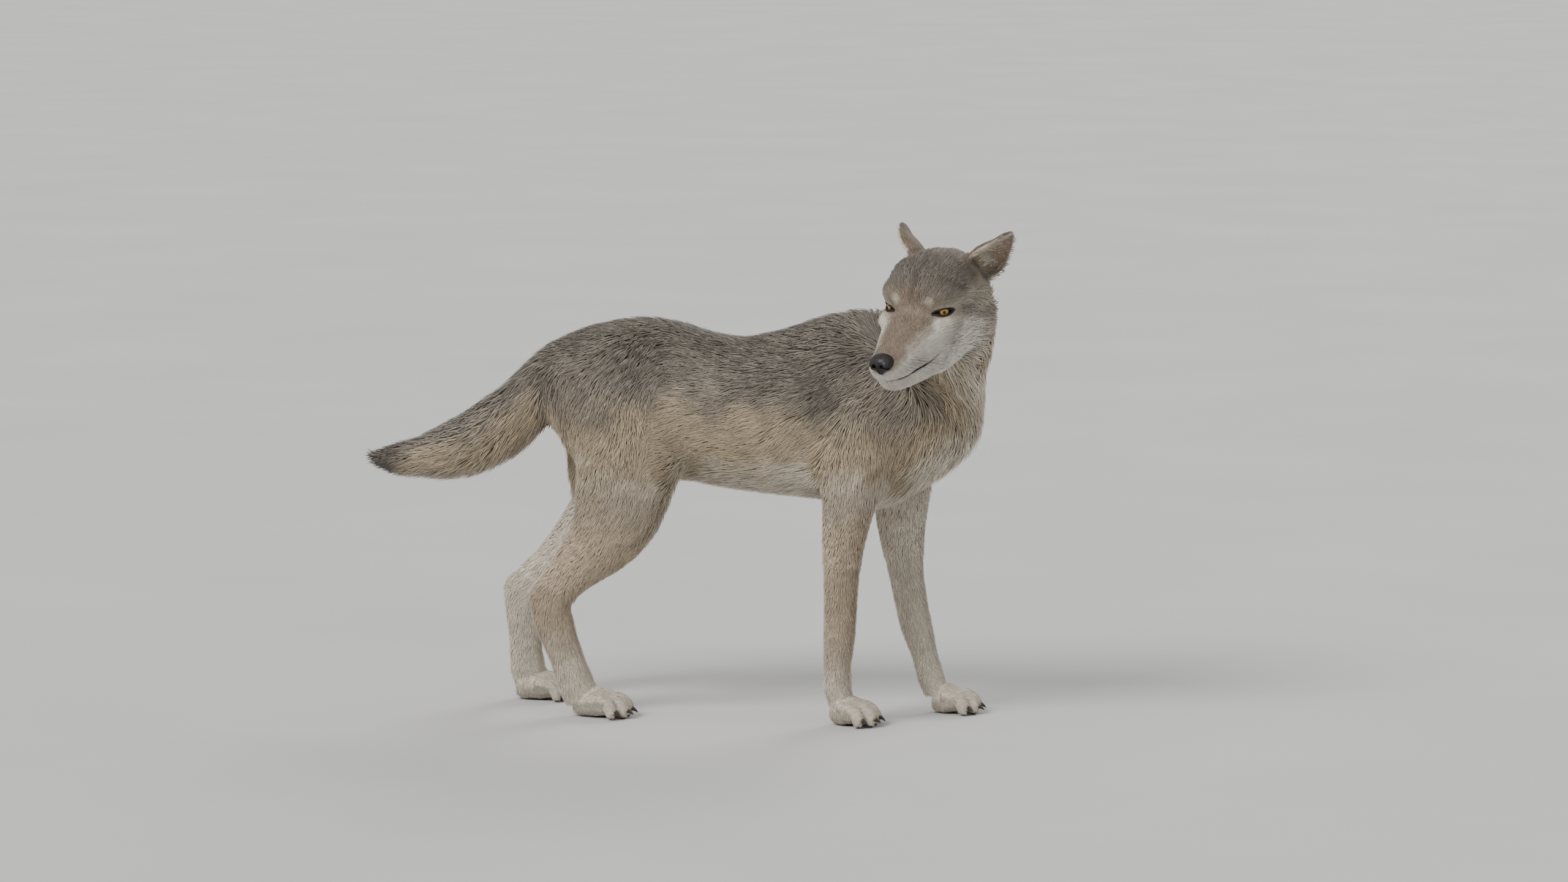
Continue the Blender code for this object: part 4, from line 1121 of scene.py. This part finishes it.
def locks(name, shape, hair, finish, field):
    """One piece of coat: a closed tapering lock at each root, all arrays at once.

    The path of a lock at t from 0 to 1 is root + lie * reach * t + out * height * (1 - (1 - t)^2.1)
    + pull * t^1.5 + side * curl * t^2, then brought to that height over the skin, so that it bends
    round the body, and lowered by sag * t^2. A ring is a low triangle: two edges on the skin's side
    and one outside.
    """
    stations, widths, open_root = SHAPES[shape]
    count = len(hair["at"])
    side = unit(np.cross(hair["out"], hair["lie"]))
    out, lie = hair["out"], hair["lie"]

    def path(t):
        """The locks' middle lines at a share of their length."""
        height = (1 - (1 - t) ** 2.1) * hair["height"]
        bend = hair["curl"] * t * t
        place = hair["at"] - out * ROOT_SUNK + lie * (hair["reach"] * t)[:, None] + out * height[:, None]
        place += hair["pull"] * t**1.5 + side * bend[:, None]
        if shape != "spike" and t > 0:
            above = sampled(*field, place)
            off = np.clip(height - above[:, 0], -0.030, 0.030) * hair["wrap"]
            place += unit(above[:, 1:]) * off[:, None]
        place[:, 2] -= hair["sag"] * t * t
        return place

    rows, normals, colours = [], [], []
    ends = ([] if open_root else [0.0]) + list(stations) + [1.0]
    for t in ends:
        t = np.full(count, t)
        centre = path(float(t[0]))
        shade = hair["root"] + (hair["mid"] - hair["root"]) * ramp(t, 0.0, 0.40)[:, None]
        shade = shade + (hair["tip"] - hair["mid"]) * ramp(t, 0.45, 1.0)[:, None]
        if t[0] in stations:
            half = (hair["width"] * widths[stations.index(t[0])] / 2)[:, None]
            ring = (centre - side * half, centre + side * half, centre + out * half * 0.75)
            turns = (-0.8 * side + 0.4 * out, 0.8 * side + 0.4 * out, out)
            rows += ring
            normals += turns
            # painted highlight: the top corner of each ring, facing out, is 6 percent lighter than its two
            # edges on the skin's side
            colours += [shade, shade, shade * 1.06]
        else:
            rows.append(centre)
            normals.append(out + 0.5 * lie * (1 if t[0] > 0.5 else -1))
            colours.append(shade)
    points = np.stack(rows, axis=1)
    points[:, :, 2] = np.maximum(points[:, :, 2], FLOOR_GAP)
    each = points.shape[1]
    faces, patch = lock_faces(len(stations), open_root)
    every = (faces[None] + each * np.arange(count)[:, None, None]).reshape(-1, 3)
    obj = mesh_object(name, points.reshape(-1, 3), every, finish)
    mesh = obj.data
    spread_uv = (patch - 0.5) * PATCH
    uv = (hair["uv"][:, None, None, :] + spread_uv[None]).astype(np.float32)
    mesh.uv_layers.new(name="OFBake").data.foreach_set("uv", uv.ravel())
    strand = patch[None] * (5.0, 1.6) + hair["own"][:, None, None, :]
    mesh.uv_layers.new(name="strand").data.foreach_set("uv", strand.astype(np.float32).ravel())
    own = np.stack(normals, axis=1)
    blend = unit((own * 0.42 + out[:, None, :] * 0.58).reshape(-1, 3))
    mesh.normals_split_custom_set_from_vertices(blend.astype(np.float32))
    paint(obj, np.stack(colours, axis=1).reshape(-1, 3))
    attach(obj, "root")


def lock_widths(places):
    """How wide locks are at some places: wider over a deeper coat and on the legs, fine on the ears."""
    depth, _, index, _ = bone_field(places)
    h = moved(INTO_HEAD, places)
    depth *= sparing(h)
    legs = np.isin(REGIONS[index], LEG_REGIONS)
    width = LOCK_WIDTH[0] + LOCK_WIDTH[1] * depth
    width *= np.where(legs, np.where(depth < 0.010, 1.32, 1.15), 1.0)
    return np.where(in_ear(h), EAR_HAIR_WIDTH, width)


def ear_hair(h, hollow):
    """The way hair lies on the ears, and where the long fringe inside their edges grows.

    It runs to the tip; in the hollow it also leans across towards the hind edge and outwards.
    """
    edge, across, opening, rise = ear_across(h)
    low = ear_place(h)[0] < 0.22
    way = rise + (np.where(low, 0.05, 0.50)[:, None] * across + 0.22 * opening) * hollow[:, None]
    fringe = (hollow > 0.5) & ((edge < -0.20) | (low & (edge < 0.5)))
    return to_left(way, h) @ TURN[:3, :3].T, fringe


def bare_places(place, normal, h, rim, hollow, fringe, rng):
    """True where no hair grows: rims of the eyes, nose, lips, soles and some places inside the ears."""
    nose = np.linalg.norm((h - NOSE_AT) / (0.0185, 0.0245, 0.0185), axis=1)
    lip = np.abs(h[:, 2] - mouth_height(h[:, 0]))
    bare = (rim < 0.0016) | (nose < 1) | ((lip < 0.0017) & (h[:, 0] > 0.042) & (h[:, 0] < 0.17))
    bare |= (place[:, 2] < 0.0060) & (normal[:, 2] < 0.2)
    return bare | (hollow > 0.5) & (rng.random(len(h)) < np.where(fringe, 0.15, 0.25))


def clumped(place, depth):
    """The middle of the clump that each lock leans into; clumps are wider in a deeper coat."""
    size = np.select([depth > LONG, depth > MIDDLING, depth > SHORT], CLUMPS, SMALL_CLUMP)
    centre = place.copy()
    for step in np.unique(size):
        pick = size == step
        centre[pick] = clump_centres(place[pick], step, 21)
    return centre


def hair_colours(colour, dark, depth, clump, face, legs, rng):
    """Each lock's colours at root, middle and tip: underfur colour with painted shade at the root, darker
    where the coat is deeper; banded; black at the tip.
    """
    tone = 1 + 0.13 * rng.standard_normal(len(depth)).clip(-2, 2) + 0.10 * (clump - 0.5)
    colour = colour * tone[:, None]
    warm = rng.random(len(depth))
    colour = mixed(colour, TAWNY, 0.16 * ramp(warm, 0.7, 1.0))
    colour = mixed(colour, CREAM, 0.22 * ramp(-warm, -0.25, 0.0))
    black = np.clip(dark * 1.35 - 0.55 * rng.random(len(depth)), 0, 1) * ramp(dark, 0.02, 0.15)
    deep = ramp(depth, 0.003, 0.016)
    # painted shade deep in the coat: the root darkened by up to 34 percent (22 on the legs) as the coat
    # deepens, over the underfur colour mixed in
    root = mixed(colour, UNDERFUR, 0.35 * deep) * (0.90 - np.where(legs, 0.22, 0.34) * deep)[:, None]
    mid = mixed(colour, SILVER, 0.40 * dark * deep) * (1 - np.where(face, 0.50, 0.16) * black)[:, None]
    return root, mid, mixed(colour * 1.10, BLACK_HAIR, np.where(face, 0.62, 0.92) * black)


def coat_pieces(hair, part, kind, finish, field):
    """The coat's objects: one for each part of the body and shape of lock, cut where it grows large."""
    for where in ("head", "neck", "trunk", "tail", "legs"):
        for shape, (stations, _, open_root) in SHAPES.items():
            picked = np.flatnonzero((part == where) & (kind == shape))
            if not len(picked):
                continue
            picked = picked[np.argsort(hair["at"][picked, 0])]
            each = 4 if open_root else 6 * len(stations)
            pieces = math.ceil(len(picked) * each / PIECE_TRIANGLES)
            for k, some in enumerate(np.array_split(picked, pieces)):
                chosen = {key: value[some] for key, value in hair.items()}
                locks(f"coat_{where}_{shape}_{k + 1}", shape, chosen, finish, field)


def grow_coat(skin):
    """Hair over the whole skin. Width, number and length follow the depth of the coat."""
    rng = np.random.default_rng(7)
    points, faces, out = triangle_arrays(skin)
    uv = np.empty(len(skin.data.loops) * 2, np.float32)
    skin.data.uv_layers["OFBake"].data.foreach_get("uv", uv)
    width = lock_widths(points[faces].mean(axis=1))
    at, share = roots(points, faces, HAIR_SHARE / (SPACING * width) ** 2, rng)
    corner = faces[at]
    place = (points[corner] * share[..., None]).sum(axis=1)
    normal = unit((out[corner] * share[..., None]).sum(axis=1))
    patch = (uv.reshape(-1, 3, 2)[at] * share[..., None]).sum(axis=1)
    width = width[at] * rng.uniform(0.55, 0.95, len(at))
    count = len(at)

    # where the locks stand
    depth, lie, index, nearest = bone_field(place)
    h = moved(INTO_HEAD, place)
    depth *= sparing(h)
    region = REGIONS[index]
    legs, face, ear = np.isin(region, LEG_REGIONS), np.isin(region, HEAD_REGIONS), in_ear(h)
    hollow = ear_inside(h, normal)
    ear_way, fringe = ear_hair(h, hollow)
    lie = np.where(ear[:, None], ear_way, lie)
    lie = unit(lie - normal * (lie * normal).sum(axis=1)[:, None])
    rim = eye_rim(place)
    bare = bare_places(place, normal, h, rim, hollow, fringe, rng)

    # their kinds, the way they lie, and how they lean together in clumps
    kind = np.where(depth < SHORT, "spike", np.where(depth > LONG, "long_lock", "lock"))
    kind[ear] = "spike"
    centre = clumped(place, depth)
    turn = 0.30 * noise(centre, 0.070, 31) + 0.20 * noise(centre, 0.022, 32)
    turn = turn + 0.10 * rng.standard_normal(count)
    turn *= np.where(depth < SHORT, 0.55, 1.0)
    lie = around(lie, normal, turn)
    toward = centre - place
    toward -= normal * (toward * normal).sum(axis=1)[:, None]
    pull = toward * np.where((kind == "spike") | legs, 0.35, 0.58)[:, None]

    # how high they stand and how far they reach
    height = depth * rng.uniform(0.74, 1.08, count) + 0.0004
    height = np.where(kind == "spike", np.minimum(height, HIGHEST_SPIKE), height)
    height = np.where(ear, EAR_HAIR_HEIGHT * rng.uniform(0.5, 1.2, count), height)
    height = np.where(fringe, FRINGE_HEIGHT * rng.uniform(0.4, 1.2, count), height)
    clump = lattice_value(np.floor(centre / 0.001), 41)
    height *= 0.93 + 0.12 * clump
    length = (LOCK_LENGTH[1] * depth + LOCK_LENGTH[0]) * rng.uniform(0.85, 1.2, count)
    length = np.where(ear, np.where(fringe, FRINGE_LENGTH, EAR_HAIR_LENGTH), length)
    length *= np.where(region == "paw", 0.85, 1.0)
    width = np.where(fringe, FRINGE_WIDTH, width)
    length *= 1 - 0.5 * (1 - ramp(rim, 0.002, 0.012))
    height *= 1 - 0.7 * (1 - ramp(rim, 0.002, 0.016))
    reach = np.sqrt(np.maximum(length**2 - height**2, (0.5 * length) ** 2))

    # their colours, and all that a piece of coat is made from
    colour, dark = markings(place, normal, index, nearest)
    root, mid, tip = hair_colours(colour, dark, depth, clump, face, legs, rng)
    held = 1 - ramp(ORIGIN[0] - place[:, 0], 0.640, 0.700)   # the tail's last locks run on past its end
    hair = {
        "at": place, "out": normal, "lie": lie, "pull": pull, "uv": patch,
        "width": width, "height": height, "reach": reach,
        "wrap": np.where(ear_place(h)[1] < 0.030, 0.0, 0.9) * held,   # how far it is held to its height
        "curl": length * 0.10 * rng.standard_normal(count).clip(-2, 2),
        "sag": length * np.where(depth > 0.012, 0.05, 0.0),
        "own": rng.random((count, 2)) * 40,   # its own place in the noise that splits it into hairs
        "root": root, "mid": mid, "tip": tip,
    }
    part = np.where(legs, "legs", np.where(region == "tail", "tail", "trunk"))
    part[np.isin(region, NECK_REGIONS)] = "neck"
    part[face | ear] = "head"
    part[bare] = ""
    coat_pieces(hair, part, kind, fur_finish(), skin_field(points, faces))


# ---------------------------------------------------------------- eyes, nose, claws and whiskers
def make_eye(side, finish):
    """The eyeball: rings about its axis, closer together in front, and a point at each pole.

    The radius is R + 0.9 mm (1 - (a / 34 deg)^2)^2 within 34 degrees of the axis, for the cornea.
    The iris is painted by the angle a from the axis: pupil, fibres, then a dark rim.
    """
    rows, columns = 76, 128
    ring = (np.arange(1, rows + 1) / (rows + 1)) ** 1.5 * math.pi
    a = np.concatenate([[0.0], np.repeat(ring, columns), [math.pi]])
    turn = np.concatenate([[0.0], np.tile(np.arange(columns) / columns * 2 * math.pi, rows), [0.0]])
    bulge = np.clip(1 - (a / math.radians(34)) ** 2, 0, 1) ** 2
    radius = EYE_RADIUS - 0.0001 + 0.0009 * bulge
    local = np.stack([np.cos(a), np.sin(a) * np.cos(turn), np.sin(a) * np.sin(turn)], axis=1)
    local = local * radius[:, None]
    at = 1 + np.arange(rows * columns).reshape(rows, columns)
    after = np.roll(at, -1, axis=1)
    wall = np.stack([at[:-1], at[1:], after[1:], after[:-1]], axis=-1).reshape(-1, 4)
    front = np.stack([np.zeros_like(at[0]), at[0], after[0]], axis=-1)
    back = np.stack([np.full_like(at[0], len(a) - 1), after[-1], at[-1]], axis=-1)
    faces = np.vstack([wall[:, (0, 1, 2)], wall[:, (0, 2, 3)], front, back])
    eye = mesh_object(f"eye_ball_{SIDE_NAMES[side]}", moved(eye_frame(side), local), faces)
    reach = EYE_RADIUS * np.sin(np.minimum(a, math.pi / 2)) + (a > math.pi / 2) * 0.02
    wave = np.stack([np.cos(turn) * 2.0, np.sin(turn) * 2.0, reach * 60], axis=1)
    fibre = noise(wave, 0.16, 51) * 0.5 + noise(wave, 0.07, 52) * 0.5
    iris = 0.0086   # half its width
    colour = np.tile(linear("a87a2c"), (len(reach), 1))
    halo = ramp(reach, 0.0030, 0.0048) * (1 - ramp(reach, 0.0052, 0.0070))
    colour = mixed(colour, linear("cfa454"), halo * 0.6)
    colour = colour * (1 + 0.34 * fibre)[:, None]
    colour = mixed(colour, linear("4b2b0c"), 0.75 * (1 - ramp(reach, 0.0027, 0.0039)))
    colour = mixed(colour, linear("2a1808"), 0.90 * ramp(reach, iris - 0.0014, iris))
    colour = mixed(colour, linear("1b1310"), 0.9 * ramp(reach, iris, iris + 0.0006))
    colour = mixed(colour, linear("3a2a24"), ramp(reach, iris + 0.0008, iris + 0.0035))
    colour = mixed(colour, linear("050404"), 1 - ramp(reach, 0.0024, 0.0028))
    paint(eye, colour, "iris")
    eye.data.materials.append(finish)
    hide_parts(f"eye_{SIDE_NAMES[side]}")
    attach(eye, "root")


NOSE_TRIANGLES = 36000


def make_nose():
    """The leather of the nose at 0.6 mm: blended oval masses, two nostrils with side slits, a groove."""
    pitch = 0.0006
    first, size = box_cells(NOSE_AT - (0.024, 0.030, 0.030), NOSE_AT + (0.024, 0.030, 0.022), pitch)
    p = cell_points(first, size, pitch) - NOSE_AT
    y = np.abs(p[:, 1])
    cells = ellipsoid(p, (0, 0, 0), (0.0145, 0.0222, 0.0142))
    cells = blended(cells, ellipsoid(p, (-0.006, 0, 0.002), (0.0155, 0.0236, 0.0150)), 0.004)
    cells = blended(cells, ellipsoid(p, (0.002, 0, -0.010), (0.010, 0.0085, 0.0120)), 0.006)
    wing = np.stack([p[:, 0], y, p[:, 2]], axis=1)
    cells = blended(cells, ellipsoid(wing, (0.0062, 0.0135, -0.0022), (0.0080, 0.0080, 0.0085)), 0.004)
    hole = ellipsoid(wing, (0.0145, 0.0082, -0.0010), (0.0100, 0.0040, 0.0042))
    slit = np.abs(wing[:, 2] + 0.0028 + 0.25 * (y - 0.012)) - 0.0011
    slit = np.maximum(slit, np.maximum(y - 0.0215, 0.0095 - y))
    slit = np.maximum(slit, 0.002 - wing[:, 0])
    cells = np.maximum(cells, -blended(hole, slit, 0.0030))
    groove = np.maximum(y - 0.0007, p[:, 2] + 0.0005)
    shallow = -(cells + 0.0022)
    cells = np.where(cells > -0.004, np.maximum(cells, -np.maximum(groove, shallow)), cells)
    cells = softened(cells.reshape(size), 2)
    points, quads = surface(cells, first, pitch)
    nose = mesh_object("nose_leather", moved(HEAD, points), quads, nose_finish())
    thinned(nose, NOSE_TRIANGLES)
    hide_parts("nose")
    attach(nose, "root")


def tubes(name, paths, radii, sides, finish, flat=1.0):
    """Closed tapering tubes along paths (tubes x stations x 3), joined in one mesh.

    A ring at a station is radius times (cos, flat sin) in the plane square to the path.
    """
    count, stations = paths.shape[:2]
    ahead = np.gradient(paths, axis=1)
    ahead /= np.linalg.norm(ahead, axis=2, keepdims=True)
    across = np.cross(ahead, np.array([0.0, 0.0, 1.0]))
    across /= np.maximum(np.linalg.norm(across, axis=2, keepdims=True), 1e-9)
    upward = np.cross(across, ahead)
    turn = np.arange(sides) / sides * 2 * math.pi
    ring = across[:, :, None] * np.cos(turn)[:, None] + upward[:, :, None] * (flat * np.sin(turn))[:, None]
    body = paths[:, :, None] + ring * radii[:, :, None, None]
    ends = paths[:, [0, -1]]
    points = np.concatenate([body.reshape(count, -1, 3), ends], axis=1)
    at = np.arange(stations * sides).reshape(stations, sides)
    after = np.roll(at, -1, axis=1)
    wall = np.stack([at[:-1], at[1:], after[1:], after[:-1]], axis=-1).reshape(-1, 4)
    split = np.vstack([wall[:, (0, 1, 2)], wall[:, (0, 2, 3)]])
    start = np.stack([np.full(sides, stations * sides), at[0], after[0]], axis=-1)
    stop = np.stack([np.full(sides, stations * sides + 1), after[-1], at[-1]], axis=-1)
    one = np.vstack([split, start, stop])
    every = (one[None] + points.shape[1] * np.arange(count)[:, None, None]).reshape(-1, 3)
    return mesh_object(name, points.reshape(-1, 3), every, finish)


def make_claws():
    """Sixteen claws: each drops along z = -L (0.22 t + 0.30 t^2) over a run of 0.8 L, tapering to a point."""
    t = np.linspace(-0.45, 1.0, 22)
    ahead = np.maximum(t, 0)
    length = 0.0150
    share = np.interp(t, (-0.45, 0.0, 0.2, 0.62, 0.92, 1.0), (0.80, 1.0, 1.0, 0.64, 0.24, 0.06))
    paths, names = [], []
    for key in PAWS:
        for reach, across, radius in TOES:
            for side in (LEFT, RIGHT):
                x = reach + 0.55 * radius + 0.80 * length * t
                z = 0.0165 - length * (0.22 * ahead + 0.30 * ahead**2)
                local = np.stack([x, np.full_like(x, side * across * 1.12), z], axis=1)
                paths.append(moved(paw_frame(key), local))
    names = [n for n in NODES if n.startswith("claw")]
    paths = np.array(paths)
    radii = np.tile(0.0032 * share, (len(paths), 1))
    claws = tubes("claws", paths, radii, 16, horn_finish(), 1.25)
    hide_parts(*names)
    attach(claws, "root")


def make_whiskers():
    """Four rows of whiskers on each side of the muzzle and three over each eye, bending back."""
    rng = np.random.default_rng(11)
    t = np.linspace(0, 1, 9)[:, None]
    paths, radii = [], []
    for side in (LEFT, RIGHT):
        spots = [
            (
                0.134 - 0.012 * k - 0.003 * r, side * (0.029 + 0.004 * k),
                -0.050 - 0.0052 * r, 0.042 + 0.010 * k,
            )
            for r in range(4) for k in range(4)
        ]
        spots += [(0.012, side * (0.034 + 0.006 * k), 0.013 + 0.001 * k, 0.026) for k in range(3)]
        for x, y, z, length in spots:
            length *= rng.uniform(0.8, 1.1)
            over = z > 0
            start = np.array([x, y, z])
            way = np.array([0.30 if over else 0.05, side * (0.45 if over else 0.95), 0.8 if over else -0.10])
            way += rng.normal(0, 0.09, 3)
            way /= np.linalg.norm(way)
            back = np.array([-0.55, 0.0, -0.25])
            paths.append(moved(HEAD, start - way * 0.006 + way * length * t + back * length * 0.45 * t * t))
            radii.append((0.00026 if over else 0.00042) * (1 - 0.88 * t[:, 0]))
    whiskers = tubes("whiskers", np.array(paths), np.array(radii), 5, whisker_finish())
    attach(whiskers, "root")


# ---------------------------------------------------------------- room, light and camera
def make_floor():
    """A plain pale floor, with the faint mottle of painted concrete."""
    half = 90.0
    corners = np.array([(-half, -half, 0), (half, -half, 0), (half, half, 0), (-half, half, 0)])
    finish, tree, shader = finish_named("studio_floor_paint", Roughness=0.75, Specular_IOR_Level=0.2)
    place = node(tree, "TexCoord").outputs["Object"]
    mottle = node(tree, "TexNoise", Vector=place, Scale=1 / 0.75, Detail=4.0).outputs["Fac"]
    greys = {"stops": ((0.3, linear("b9b8b6")), (0.7, linear("bfbebc")))}
    wire(tree, shader, Base_Color=node(tree, "ValToRGB", greys, Fac=mottle).outputs["Color"])
    floor = mesh_object("studio_floor", corners, np.array([[0, 1, 2, 3]]), finish)


def aim(obj, at, target):
    """Puts the object at a place with its -Z pointing at a target."""
    back = np.array(at, float) - target
    back /= np.linalg.norm(back)
    right = np.cross((0, 0, 1.0), back)
    right /= np.linalg.norm(right)
    turn = np.eye(4)
    turn[:3, 0], turn[:3, 1], turn[:3, 2], turn[:3, 3] = right, np.cross(back, right), back, at
    obj.matrix_world = Matrix(turn)


def make_lights():
    """Soft light from wide suns: a key from the left and above, a fill from the right, one behind."""
    for name, at, wide, strength in (
        ("key", (-2.6, -3.6, 3.9), 26, 3.2),
        ("fill", (3.8, -3.0, 2.2), 60, 0.30),
        ("rim", (1.4, 3.8, 3.0), 25, 1.2),
    ):
        lamp = bpy.data.lights.new(name, "SUN")
        lamp.angle, lamp.energy = math.radians(wide), strength
        light = bpy.data.objects.new(name, lamp)
        bpy.context.scene.collection.objects.link(light)
        aim(light, at, np.zeros(3))
    world = bpy.data.worlds.new("studio")
    bpy.context.scene.world = world
    world.use_nodes = True
    sky = world.node_tree.nodes["Background"]
    sky.inputs["Color"].default_value = (*linear("e9eaeb"), 1)
    sky.inputs["Strength"].default_value = 0.72


def make_camera():
    """A long lens 11 degrees round and 7 degrees up, 3.06 m of view wide at the animal."""
    view_wide, lens, sensor = 3.0585, 120, 36
    turn, lift = math.radians(11), math.radians(7)
    right = np.array([math.cos(turn), math.sin(turn), 0])
    back = np.array([math.sin(turn) * math.cos(lift), -math.cos(turn) * math.cos(lift), math.sin(lift)])
    up = np.cross(back, right)
    target = ORIGIN + right * 0.0956 + up * 0.5305
    camera = bpy.data.objects.new("camera", bpy.data.cameras.new("camera"))
    bpy.context.scene.collection.objects.link(camera)
    camera.data.lens, camera.data.sensor_width = lens, sensor
    camera.data.clip_start, camera.data.clip_end = 0.1, 400
    aim(camera, target + back * view_wide * lens / sensor, target)
    bpy.context.scene.camera = camera


# ---------------------------------------------------------------- the model
wolf_skin = make_skin()
grow_coat(wolf_skin)
wet_eye = eye_finish()
for eye_side in (LEFT, RIGHT):
    make_eye(eye_side, wet_eye)
make_nose()
make_claws()
make_whiskers()
make_floor()
make_lights()
make_camera()
